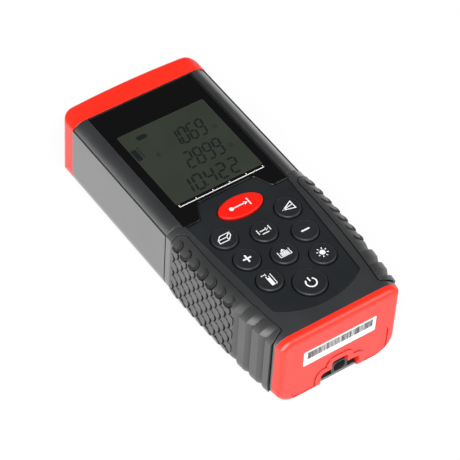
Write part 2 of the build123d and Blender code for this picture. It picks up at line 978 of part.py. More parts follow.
def make_buzzer():
    """Round sounder under the main board."""
    with BuildPart() as buzzer:
        with BuildSketch(Plane.XY.offset(board_bottom - buzzer_height)):
            with Locations((0, buzzer_y)):
                Circle(buzzer_radius)
        extrude(amount=buzzer_height)
    return buzzer


# ---- battery bay ----

def make_battery_bay():
    """Tray over the two cells, open to the door, seated on the floor."""
    middle_y = (bay_front_y + bay_rear_y) / 2
    with BuildPart() as bay:
        with BuildSketch(Plane.XY.offset(door_thickness)):
            with Locations((0, middle_y)):
                Rectangle(2 * bay_half_width, bay_length)
        extrude(amount=bay_top - door_thickness)
        with BuildSketch(Plane.XY.offset(door_thickness)):
            with Locations((0, middle_y)):
                Rectangle(2 * (bay_half_width - bay_wall), bay_length - 2 * bay_wall)
        extrude(amount=bay_top - bay_wall - door_thickness, mode=Mode.SUBTRACT)
    return bay


def make_cell(side):
    """One AAA cell with its raised terminal; the two lie head to tail."""
    x = side * cell_x
    front = cell_front_y if side > 0 else cell_front_y + cell_nipple - spring_length
    rear = front - cell_length
    tip = front if side > 0 else rear
    with BuildPart() as cell:
        with BuildSketch(Plane.XZ.offset(-rear)):
            with Locations((x, cell_z)):
                Circle(cell_diameter / 2)
        extrude(amount=-cell_length)
        with BuildSketch(Plane.XZ.offset(-tip)):
            with Locations((x, cell_z)):
                Circle(cell_nipple_radius)
        extrude(amount=-side * cell_nipple)
    return cell


def make_contact_plates():
    """Sheet contacts on both end walls of the bay, one pair per cell."""
    wall_front = bay_front_y - bay_wall
    wall_rear = bay_rear_y + bay_wall
    with BuildPart() as plates:
        for y in (wall_front - contact_thickness, wall_rear):
            with BuildSketch(Plane.XZ.offset(-y)):
                with Locations((cell_x, cell_z), (-cell_x, cell_z)):
                    Rectangle(contact_width, contact_height)
            extrude(amount=-contact_thickness)
    return plates


def make_contact_springs():
    """Conical contact springs, drawn as their closed envelope."""
    wall_front = bay_front_y - bay_wall - contact_thickness
    wall_rear = bay_rear_y + bay_wall + contact_thickness
    with BuildPart() as springs:
        for x, base, tip in (
            (-cell_x, wall_front, wall_front - spring_length),
            (cell_x, wall_rear, cell_front_y - cell_length),
        ):
            with BuildSketch(Plane.XZ.offset(-base)):
                with Locations((x, cell_z)):
                    Circle(spring_radius)
                    Circle(spring_radius - spring_wire, mode=Mode.SUBTRACT)
            with BuildSketch(Plane.XZ.offset(-tip)):
                with Locations((x, cell_z)):
                    Circle(spring_tip_radius)
                    Circle(spring_tip_radius - spring_wire, mode=Mode.SUBTRACT)
            loft()
    return springs


def make_battery_door():
    """Door with a full-round hinge edge, side pins and a finger recess."""
    half = door_half_width - part_gap
    rear = door_rear_y + part_gap
    barrel = door_thickness / 2
    with BuildPart() as door:
        with BuildSketch(Plane.YZ.offset(-half)):
            with Locations(((rear + hinge_y) / 2, hinge_z)):
                Rectangle(hinge_y - rear, door_thickness)
            with Locations((hinge_y, hinge_z)):
                Circle(barrel)
        extrude(amount=2 * half)
        with BuildSketch(Plane.YZ.offset(-half - hinge_pin_reach)):
            with Locations((hinge_y, hinge_z)):
                Circle(hinge_pin_radius)
        extrude(amount=2 * (half + hinge_pin_reach))
        with BuildSketch(Plane.XY):
            with Locations((0, rear + door_recess_y)):
                SlotOverall(door_recess_length, door_recess_width)
        extrude(amount=door_recess_depth, mode=Mode.SUBTRACT)
    return door


# ---- optics ----

def make_optic_window():
    """Dark cover glass in the recess of the front wall."""
    with BuildPart() as glass:
        with BuildSketch(Plane.XZ.offset(-(front_y - optic_plate_sink))):
            with Locations((0, optic_height)):
                SlotOverall(optic_plate_width, optic_plate_height)
        extrude(amount=-optic_plate_thickness)
    return glass


def make_receiver_tube():
    """Stepped cone that gathers the returned light onto the sensor."""
    rear = optic_front_y - receiver_length
    step = optic_front_y - receiver_length * receiver_step_share
    axis_plane = Plane((receiver_x, 0, optic_height), x_dir=(1, 0, 0), z_dir=(0, 0, 1))
    with BuildPart() as tube:
        with BuildSketch(axis_plane):
            with BuildLine():
                Polyline(
                    (receiver_lens_radius, optic_front_y),
                    (receiver_radius, optic_front_y),
                    (receiver_radius, step),
                    (receiver_tail_radius + receiver_wall, rear),
                    (receiver_tail_radius, rear),
                    (receiver_lens_radius, step),
                    close=True,
                )
            make_face()
        revolve(axis=Axis((receiver_x, 0, optic_height), (0, 1, 0)))
    return tube


def make_lens(x, radius, thickness):
    """Plano-convex glass lens, its crown towards the front."""
    y_front = optic_front_y - lens_setback
    crown = thickness * lens_crown_share
    flat = y_front - thickness
    ball = (radius**2 + crown**2) / (2 * crown)
    half_angle = math.asin(radius / ball) / 2
    mid_point = (ball * math.sin(half_angle), y_front - ball + ball * math.cos(half_angle))
    lens_plane = Plane((x, 0, optic_height), x_dir=(1, 0, 0), z_dir=(0, 0, 1))
    with BuildPart() as lens:
        with BuildSketch(lens_plane):
            with BuildLine():
                Polyline((0, y_front), (0, flat), (radius, flat), (radius, y_front - crown))
                ThreePointArc((radius, y_front - crown), mid_point, (0, y_front))
            make_face()
        revolve(axis=Axis((x, 0, optic_height), (0, 1, 0)))
    return lens


def make_emitter_tube():
    """Brass barrel that holds the collimating lens and the laser diode."""
    with BuildPart() as tube:
        with BuildSketch(Plane.XZ.offset(-optic_front_y)):
            with Locations((emitter_x, optic_height)):
                Circle(emitter_radius)
                Circle(emitter_lens_radius, mode=Mode.SUBTRACT)
        extrude(amount=emitter_length)
    return tube


def make_laser_diode():
    """Laser diode can at the back of the barrel."""
    rear = optic_front_y - emitter_length
    with BuildPart() as diode:
        with BuildSketch(Plane.XZ.offset(-rear)):
            with Locations((emitter_x, optic_height)):
                Circle(emitter_lens_radius)
        extrude(amount=-diode_length)
    return diode


def make_sensor_board():
    """Small board with the light sensor behind the receiver."""
    rear = optic_front_y - receiver_length
    with BuildPart() as board:
        with BuildSketch(Plane.XZ.offset(-rear)):
            with Locations((receiver_x, optic_height)):
                Rectangle(sensor_board_size, sensor_board_size)
        extrude(amount=sensor_board_thickness)
    return board


def make_optic_bracket():
    """Die-cast bracket on the floor that carries both barrels."""
    with BuildPart() as bracket:
        with BuildSketch(Plane.XZ.offset(-bracket_y)):
            with Locations((0, case_wall + bracket_height / 2)):
                RectangleRounded(2 * board_half_width, bracket_height, bracket_corner)
            with Locations((receiver_x, optic_height)):
                Circle(receiver_radius, mode=Mode.SUBTRACT)
            with Locations((emitter_x, optic_height)):
                Circle(emitter_radius, mode=Mode.SUBTRACT)
        extrude(amount=-bracket_thickness)
    return bracket


os.makedirs("parts", exist_ok=True)

save(make_upper_shell(), "upper_shell")
save(make_lower_shell(), "lower_shell")
save(make_front_cap(), "front_cap")
save(make_rear_cap(), "rear_cap")
save(make_rating_label(), "rating_label")
save(make_strap_eyelet(), "strap_eyelet")
save(make_window(), "display_window")
save(make_lcd(), "lcd_panel")
save(make_backlight(), "backlight_guide")
save(make_keypad_panel(), "keypad_panel")
for key_name, key_x, key_y, key_w, key_d in keys:
    save(make_key(key_x, key_y, key_w, key_d), key_name)
save(make_dome_sheet(), "snap_domes")
save(make_main_board(), "main_board")
save(make_board_screws(), "board_screws")
save(make_case_screws(), "case_screws")
save(make_buzzer(), "buzzer")
save(make_battery_bay(), "battery_bay")
save(make_cell(1), "battery_cell_right")
save(make_cell(-1), "battery_cell_left")
save(make_contact_plates(), "contact_plates")
save(make_contact_springs(), "contact_springs")
save(make_battery_door(), "battery_door")
save(make_optic_window(), "optic_window")
save(make_receiver_tube(), "receiver_tube")
save(make_lens(receiver_x, receiver_lens_radius, receiver_lens_thickness), "receiver_lens")
save(make_emitter_tube(), "emitter_tube")
save(make_lens(emitter_x, emitter_lens_radius, emitter_lens_thickness), "emitter_lens")
save(make_laser_diode(), "laser_diode")
save(make_sensor_board(), "sensor_board")
save(make_optic_bracket(), "optic_bracket")
save(make_grip(1), "grip_right")
save(make_grip(-1), "grip_left")
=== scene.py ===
import math

import bpy
from mathutils import Matrix, Vector


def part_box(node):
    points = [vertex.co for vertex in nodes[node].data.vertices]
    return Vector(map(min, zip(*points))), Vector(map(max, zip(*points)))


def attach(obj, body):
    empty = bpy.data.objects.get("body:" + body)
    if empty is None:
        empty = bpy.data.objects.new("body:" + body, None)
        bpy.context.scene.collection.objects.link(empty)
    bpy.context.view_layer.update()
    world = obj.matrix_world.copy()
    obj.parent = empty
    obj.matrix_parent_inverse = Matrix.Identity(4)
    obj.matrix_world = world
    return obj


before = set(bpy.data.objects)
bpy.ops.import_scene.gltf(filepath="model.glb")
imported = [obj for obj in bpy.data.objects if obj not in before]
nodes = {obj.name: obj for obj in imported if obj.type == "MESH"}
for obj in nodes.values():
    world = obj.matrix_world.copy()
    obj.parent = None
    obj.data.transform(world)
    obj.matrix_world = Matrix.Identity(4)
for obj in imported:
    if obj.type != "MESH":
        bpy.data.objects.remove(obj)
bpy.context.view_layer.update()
scene = bpy.context.scene
scene.view_settings.view_transform = "Standard"

# ---- Table, soft lights and camera ----
# A round white table with a raised rim, and soft lamps on both sides and in front. The
# room above stays dim, so that the flat top keeps its black. None of it is the object.

camera_place = Vector((-0.325371, -0.423110, 0.612001))
camera_right = Vector((0.8206461, -0.5696923, 0.0446158))
camera_down = Vector((-0.4020277, -0.6310794, -0.6634098))
camera_forward = Vector((0.4060956, 0.5264879, -0.7469250))
camera_lens = 199.93
camera_sensor = 36.0
camera_near = 0.01
table_radius = 4.0
table_rim_height = 1.0
table_sides = 48
table_paint = (0.93, 0.93, 0.93, 1.0)
table_white_share = 0.9
room_tint = (0.94, 0.97, 1.0, 1.0)
room_fill = 0.05
room_seen = 0.02
lamp_aim = Vector((0.0, 0.0, 0.02))
lamps = (
    ("lamp_key", Vector((-0.55, -0.70, 0.98)), 0.9, 25.0),
    ("lamp_left", Vector((-1.05, 0.10, 0.50)), 0.7, 3.5),
    ("lamp_right", Vector((0.70, -0.56, 0.86)), 0.8, 7.0),
)


def new_tree(name):
    """A material with its node tree cleared, its tree and its output node."""
    material = bpy.data.materials.new(name)
    material.use_nodes = True
    tree = material.node_tree
    tree.nodes.clear()
    return material, tree, tree.nodes.new("ShaderNodeOutputMaterial")


def add_mesh(name, points, faces, material):
    """A new mesh object at the origin, with its place in its points."""
    mesh = bpy.data.meshes.new(name)
    mesh.from_pydata(points, [], faces)
    mesh.materials.append(material)
    piece = bpy.data.objects.new(name, mesh)
    scene.collection.objects.link(piece)
    return piece


def background_share(tree, share):
    """How much of the plain background a ray takes: camera, mirror and glass rays."""
    path = tree.nodes.new("ShaderNodeLightPath")
    seen = path.outputs["Is Camera Ray"]
    for ray in ("Is Glossy Ray", "Is Transmission Ray"):
        either = tree.nodes.new("ShaderNodeMath")
        either.operation = "MAXIMUM"
        tree.links.new(seen, either.inputs[0])
        tree.links.new(path.outputs[ray], either.inputs[1])
        seen = either.outputs[0]
    scaled = tree.nodes.new("ShaderNodeMath")
    scaled.operation = "MULTIPLY"
    scaled.inputs[1].default_value = share
    tree.links.new(seen, scaled.inputs[0])
    return scaled.outputs[0]


table_material, tree, output = new_tree("white_table")
paint = tree.nodes.new("ShaderNodeBsdfDiffuse")
paint.inputs["Color"].default_value = table_paint
glow = tree.nodes.new("ShaderNodeEmission")
glow.inputs["Color"].default_value = (1.0, 1.0, 1.0, 1.0)
glow.inputs["Strength"].default_value = 1.0
blend = tree.nodes.new("ShaderNodeMixShader")
tree.links.new(background_share(tree, table_white_share), blend.inputs["Fac"])
tree.links.new(paint.outputs[0], blend.inputs[1])
tree.links.new(glow.outputs[0], blend.inputs[2])
tree.links.new(blend.outputs[0], output.inputs["Surface"])

table_points = []
for level in (0.0, table_rim_height):
    for index in range(table_sides):
        turn = math.tau * index / table_sides
        x, y = table_radius * math.cos(turn), table_radius * math.sin(turn)
        table_points.append((x, y, level))
table_faces = [tuple(range(table_sides))]
for index in range(table_sides):
    after = (index + 1) % table_sides
    table_faces.append((index, after, after + table_sides, index + table_sides))
add_mesh("tabletop", table_points, table_faces, table_material)

world = bpy.data.worlds.new("dim_room")
world.use_nodes = True
scene.world = world
tree = world.node_tree
room = tree.nodes["Background"]
room.inputs["Color"].default_value = room_tint
brightness = tree.nodes.new("ShaderNodeMath")
brightness.operation = "ADD"
brightness.inputs[1].default_value = room_fill
tree.links.new(background_share(tree, room_seen), brightness.inputs[0])
tree.links.new(brightness.outputs[0], room.inputs["Strength"])

for name, place, size, power in lamps:
    lamp = bpy.data.lights.new(name, "AREA")
    lamp.size = size
    lamp.energy = power
    holder = bpy.data.objects.new(name, lamp)
    holder.location = place
    holder.rotation_euler = (lamp_aim - place).to_track_quat("-Z", "Y").to_euler()
    scene.collection.objects.link(holder)

camera = bpy.data.objects.new("camera", bpy.data.cameras.new("camera"))
camera.data.lens = camera_lens
camera.data.sensor_width = camera_sensor
camera.data.clip_start = camera_near
turn = Matrix((camera_right, -camera_down, -camera_forward)).transposed()
camera.matrix_world = Matrix.Translation(camera_place) @ turn.to_4x4()
scene.collection.objects.link(camera)
scene.camera = camera

# ---- Case shells ----
# Two injection-moulded halves in black ABS with a fine spark texture, closed by four
# screws from the back, and a battery door of the same on two side pins. Edges and
# corners are rubbed a little brighter by the hand.

grain_depth = 0.00005
drift_low, drift_high = 0.3, 0.7
edge_whole, edge_worn = 0.97, 0.72
# Painted shade: how far and with what tint the colour darkens in crevices, corners and
# seams, by ambient occlusion.
crevice_open, crevice_shut = 0.95, 0.45
crevice_shade_tint = (0.12, 0.06, 0.05, 1.0)
film_bare, film_full = 0.55, 0.95


def shader_group(name, inputs, outputs):
    """A shader node group with its sockets; inputs are (name, kind, value)."""
    group = bpy.data.node_groups.new(name, "ShaderNodeTree")
    for label, kind, value in inputs:
        socket = group.interface.new_socket(label, in_out="INPUT", socket_type=kind)
        socket.default_value = value
    for label, kind in outputs:
        group.interface.new_socket(label, in_out="OUTPUT", socket_type=kind)
    entry = group.nodes.new("NodeGroupInput")
    leave = group.nodes.new("NodeGroupOutput")
    return group, entry, leave


def ramp(tree, value, start, full):
    """A share that grows from nothing at the start of a range to whole at its end."""
    node = tree.nodes.new("ShaderNodeMapRange")
    node.inputs["From Min"].default_value = start
    node.inputs["From Max"].default_value = full
    tree.links.new(value, node.inputs["Value"])
    return node


def colour_mix(tree, factor, first):
    """A mix of two colours by a factor; the caller sets the second colour."""
    node = tree.nodes.new("ShaderNodeMix")
    node.data_type = "RGBA"
    tree.links.new(factor, node.inputs["Factor"])
    tree.links.new(first, node.inputs["A"])
    return node


def moulded_grain_group():
    """Spark-eroded mould texture with rubbed edges, and painted shade: ambient occlusion
    darkens the colour in crevices, corners and seams. Where no crevice is near, the
    surface may carry a thin gloss film."""
    group, entry, leave = shader_group(
        "moulded_grain",
        (
            ("Dark", "NodeSocketColor", (0.02, 0.02, 0.02, 1.0)),
            ("Light", "NodeSocketColor", (0.03, 0.03, 0.03, 1.0)),
            ("Rubbed", "NodeSocketColor", (0.06, 0.06, 0.06, 1.0)),
            ("Grain Scale", "NodeSocketFloat", 2600.0),
            ("Drift Scale", "NodeSocketFloat", 90.0),
            ("Rough Low", "NodeSocketFloat", 0.4),
            ("Rough High", "NodeSocketFloat", 0.5),
            ("Relief", "NodeSocketFloat", 0.1),
            ("Edge Radius", "NodeSocketFloat", 0.0003),
            ("Crevice", "NodeSocketFloat", 0.5),
            ("Crevice Reach", "NodeSocketFloat", 0.0012),
            ("Gloss Film", "NodeSocketFloat", 0.0),
        ),
        (
            ("Color", "NodeSocketColor"),
            ("Roughness", "NodeSocketFloat"),
            ("Film", "NodeSocketFloat"),
            ("Normal", "NodeSocketVector"),
        ),
    )
    n, link = group.nodes, group.links
    place = n.new("ShaderNodeTexCoord")
    grain = n.new("ShaderNodeTexNoise")
    grain.inputs["Detail"].default_value = 3.0
    drift = n.new("ShaderNodeTexNoise")
    drift.inputs["Detail"].default_value = 4.0
    link.new(place.outputs["Object"], grain.inputs["Vector"])
    link.new(place.outputs["Object"], drift.inputs["Vector"])
    link.new(entry.outputs["Grain Scale"], grain.inputs["Scale"])
    link.new(entry.outputs["Drift Scale"], drift.inputs["Scale"])
    blend = colour_mix(group, drift.outputs["Fac"], entry.outputs["Dark"])
    link.new(entry.outputs["Light"], blend.inputs["B"])
    soft = n.new("ShaderNodeBevel")
    soft.samples = 4
    link.new(entry.outputs["Edge Radius"], soft.inputs["Radius"])
    true_face = n.new("ShaderNodeNewGeometry")
    facing = n.new("ShaderNodeVectorMath")
    facing.operation = "DOT_PRODUCT"
    link.new(soft.outputs["Normal"], facing.inputs[0])
    link.new(true_face.outputs["Normal"], facing.inputs[1])
    edge = ramp(group, facing.outputs["Value"], edge_whole, edge_worn)
    rub = n.new("ShaderNodeMath")
    rub.operation = "MULTIPLY"
    link.new(edge.outputs["Result"], rub.inputs[0])
    link.new(drift.outputs["Fac"], rub.inputs[1])
    worn = colour_mix(group, rub.outputs[0], blend.outputs["Result"])
    link.new(entry.outputs["Rubbed"], worn.inputs["B"])
    # Painted shade: ambient occlusion darkens the colour in crevices, corners and along
    # seams, where shade falls.
    hollow = n.new("ShaderNodeAmbientOcclusion")
    hollow.samples = 6
    link.new(entry.outputs["Crevice Reach"], hollow.inputs["Distance"])
    depth = ramp(group, hollow.outputs["AO"], crevice_open, crevice_shut)
    link.new(entry.outputs["Crevice"], depth.inputs["To Max"])
    painted_crevice_shade = colour_mix(group, depth.outputs["Result"], worn.outputs["Result"])
    painted_crevice_shade.blend_type = "MULTIPLY"
    painted_crevice_shade.inputs["B"].default_value = crevice_shade_tint
    link.new(painted_crevice_shade.outputs["Result"], leave.inputs["Color"])
    film = ramp(group, hollow.outputs["AO"], film_bare, film_full)
    link.new(entry.outputs["Gloss Film"], film.inputs["To Max"])
    link.new(film.outputs["Result"], leave.inputs["Film"])
    rough = ramp(group, drift.outputs["Fac"], drift_low, drift_high)
    link.new(entry.outputs["Rough Low"], rough.inputs["To Min"])
    link.new(entry.outputs["Rough High"], rough.inputs["To Max"])
    link.new(rough.outputs["Result"], leave.inputs["Roughness"])
    relief = n.new("ShaderNodeBump")
    relief.inputs["Distance"].default_value = grain_depth
    link.new(entry.outputs["Relief"], relief.inputs["Strength"])
    link.new(grain.outputs["Fac"], relief.inputs["Height"])
    link.new(soft.outputs["Normal"], relief.inputs["Normal"])
    link.new(relief.outputs["Normal"], leave.inputs["Normal"])
    return group


moulded_grain = moulded_grain_group()


# Every finish made here carries painted shade in its crevices, at half strength unless
# set otherwise.
def moulded(
    name, dark, light, rough, relief,
    grain=2600.0, edge=0.0003, rubbed=None, film=0.0, crevice=0.5, crevice_reach=0.0012,
    ior=1.5, level=0.5, coat_rough=0.3, coat_ior=1.5, metallic=0.0,
):
    """A moulded, printed or cast finish; what is even all over is set on its shader."""
    material, tree, output = new_tree(name)
    surface = tree.nodes.new("ShaderNodeGroup")
    surface.node_tree = moulded_grain
    for label, value in (
        ("Dark", (*dark, 1.0)),
        ("Light", (*light, 1.0)),
        ("Rubbed", (*(rubbed or light), 1.0)),
        ("Grain Scale", grain),
        ("Rough Low", rough[0]),
        ("Rough High", rough[1]),
        ("Relief", relief),
        ("Edge Radius", edge),
        ("Crevice", crevice),
        ("Crevice Reach", crevice_reach),
        ("Gloss Film", film),
    ):
        surface.inputs[label].default_value = value
    shader = tree.nodes.new("ShaderNodeBsdfPrincipled")
    for label, value in (
        ("IOR", ior),
        ("Specular IOR Level", level),
        ("Coat Roughness", coat_rough),
        ("Coat IOR", coat_ior),
        ("Metallic", metallic),
    ):
        shader.inputs[label].default_value = value
    tree.links.new(surface.outputs["Color"], shader.inputs["Base Color"])
    tree.links.new(surface.outputs["Roughness"], shader.inputs["Roughness"])
    tree.links.new(surface.outputs["Normal"], shader.inputs["Normal"])
    if film > 0.0:
        tree.links.new(surface.outputs["Film"], shader.inputs["Coat Weight"])
    tree.links.new(shader.outputs[0], output.inputs["Surface"])
    return material


def dress(names, material):
    """Give CAD nodes one finish in every slot of their mesh."""
    for name in names:
        for slot in nodes[name].material_slots:
            slot.material = material


case_plastic = moulded(
    "case_plastic",
    dark=(0.008, 0.009, 0.010),
    light=(0.012, 0.013, 0.0145),
    rough=(0.34, 0.42),
    relief=0.22,
    edge=0.00014,
    rubbed=(0.018, 0.019, 0.021),
    film=1.0,
    ior=1.75,
    level=1.0,
    coat_rough=0.34,
    coat_ior=1.7,
)
dress(("upper_shell", "lower_shell", "battery_door"), case_plastic)

# ---- Bumpers ----
# Red polycarbonate end caps with a satin moulded surface. Their side tongues slide
# inside the ends of the shells, and the rear cap's flat wall is the rear datum.

bumper_plastic = moulded(
    "bumper_plastic",
    dark=(0.86, 0.019, 0.007),
    light=(0.93, 0.026, 0.010),
    rough=(0.34, 0.42),
    relief=0.10,
    rubbed=(0.94, 0.04, 0.018),
    edge=0.00025,
    # Painted shade at full strength in the caps' crevices and along their seams.
    crevice=1.0,
    crevice_reach=0.0010,
    level=0.7,
)
dress(("front_cap", "rear_cap"), bumper_plastic)

# ---- Grips ----
# Soft black rubber, moulded over both long sides: rows of overlapping scales in front
# and saw-tooth ribs behind. Scales and ribs all come from the same shot. The dark plates
# laid behind the scales are painted shadow.

grip_rubber = moulded(
    "grip_rubber",
    dark=(0.012, 0.0125, 0.013),
    light=(0.019, 0.0195, 0.020),
    rough=(0.40, 0.50),
    relief=0.25,
    edge=0.0004,
    rubbed=(0.035, 0.036, 0.038),
    film=0.75,
    # Painted shade, strong and far-reaching, in the grooves between ribs and scales.
    crevice=0.8,
    crevice_reach=0.0035,
    level=0.8,
    coat_rough=0.44,
    coat_ior=1.65,
)
dress(("grip_left", "grip_right"), grip_rubber)
shoulder_rubber = moulded(
    "shoulder_rubber",
    dark=(0.016, 0.0165, 0.017),
    light=(0.024, 0.0245, 0.025),
    rough=(0.56, 0.66),
    relief=0.25,
    edge=0.0004,
    ior=1.45,
    level=0.4,
)
# Painted shadow: the near-black finish of the plates laid behind the scales.
scale_shadow = moulded(
    "scale_shadow",
    dark=(0.002, 0.002, 0.002),
    light=(0.004, 0.004, 0.004),
    rough=(0.85, 0.95),
    relief=0.2,
    ior=1.3,
    level=0.2,
)

scale_pitch = 0.0044
scale_row = 0.0032
scale_rows = 7
scale_columns = 10
scale_sides = 12
scale_reach = 0.00200
scale_low = 0.00002
scale_high = 0.00032
scale_root = -0.0004
scale_crest_share = 0.84
scale_shoulder_share = 0.75
crest_ring_above = 0.75
root_ring_below = 0.25
# Painted shadow: a dark plate laid behind each scale, a little back and up, paints the
# crescent of shade at its rear edge.
shadow_plate_shift = 0.00050
shadow_plate_rise = 0.00012
shadow_plate_level = 0.00006
top_row_z = 0.0277
top_reach = 0.0021
top_low = -0.00036
top_high = 0.00014
# Painted shadow for the top row: its dark plates lie a little back along the row.
top_shadow_plate_shift = 0.00034
top_shadow_plate_high = 0.00004
field_front_land = 0.0012
field_rear_reach = 0.0169
field_first_row_z = 0.0055
field_floor_land = 0.0003
rear_overhang = 0.3
front_overhang = 0.6
cast_start = 0.04
cast_length = 0.05


def geometry_tree(name, inputs):
    """A geometry node tree with named inputs; inputs are (name, kind, value)."""
    tree = bpy.data.node_groups.new(name, "GeometryNodeTree")
    for label, kind, value in inputs:
        socket = tree.interface.new_socket(label, in_out="INPUT", socket_type=kind)
        if value is not None:
            socket.default_value = value
    tree.interface.new_socket(
        "Geometry", in_out="OUTPUT", socket_type="NodeSocketGeometry"
    )
    return tree, tree.nodes.new("NodeGroupInput"), tree.nodes.new("NodeGroupOutput")


def math_node(tree, operation, first, second=None, third=None):
    """One number operation; each operand is a socket or a plain number."""
    node = tree.nodes.new("ShaderNodeMath")
    node.operation = operation
    for index, operand in enumerate((first, second, third)):
        if operand is None:
            continue
        if isinstance(operand, (int, float)):
            node.inputs[index].default_value = operand
        else:
            tree.links.new(operand, node.inputs[index])
    return node.outputs[0]


def vector_of(tree, x, y, z):
    """A vector from three operands, each a socket or a plain number."""
    node = tree.nodes.new("ShaderNodeCombineXYZ")
    for index, operand in enumerate((x, y, z)):
        if isinstance(operand, (int, float)):
            node.inputs[index].default_value = operand
        else:
            tree.links.new(operand, node.inputs[index])
    return node.outputs[0]


def finish_tree(tree, leave, geometry, material):
    """End a tree: real geometry in place of instances, then its finish."""
    real = tree.nodes.new("GeometryNodeRealizeInstances")
    paint = tree.nodes.new("GeometryNodeSetMaterial")
    paint.inputs["Material"].default_value = material
    tree.links.new(geometry, real.inputs["Geometry"])
    tree.links.new(real.outputs["Geometry"], paint.inputs["Geometry"])
    tree.links.new(paint.outputs["Geometry"], leave.inputs["Geometry"])
    return paint


def grown_mesh(name, tree, values):
    """Run a tree once with the given inputs and keep its result as a plain mesh."""
    piece = bpy.data.objects.new(name, bpy.data.meshes.new(name))
    scene.collection.objects.link(piece)
    pattern = piece.modifiers.new("pattern", "NODES")
    pattern.node_group = tree
    for socket in tree.interface.items_tree:
        if socket.in_out == "INPUT" and socket.name in values:
            pattern[socket.identifier] = values[socket.name]
    graph = bpy.context.evaluated_depsgraph_get()
    mesh = bpy.data.meshes.new_from_object(piece.evaluated_get(graph))
    piece.modifiers.remove(pattern)
    piece.data = mesh
    return piece


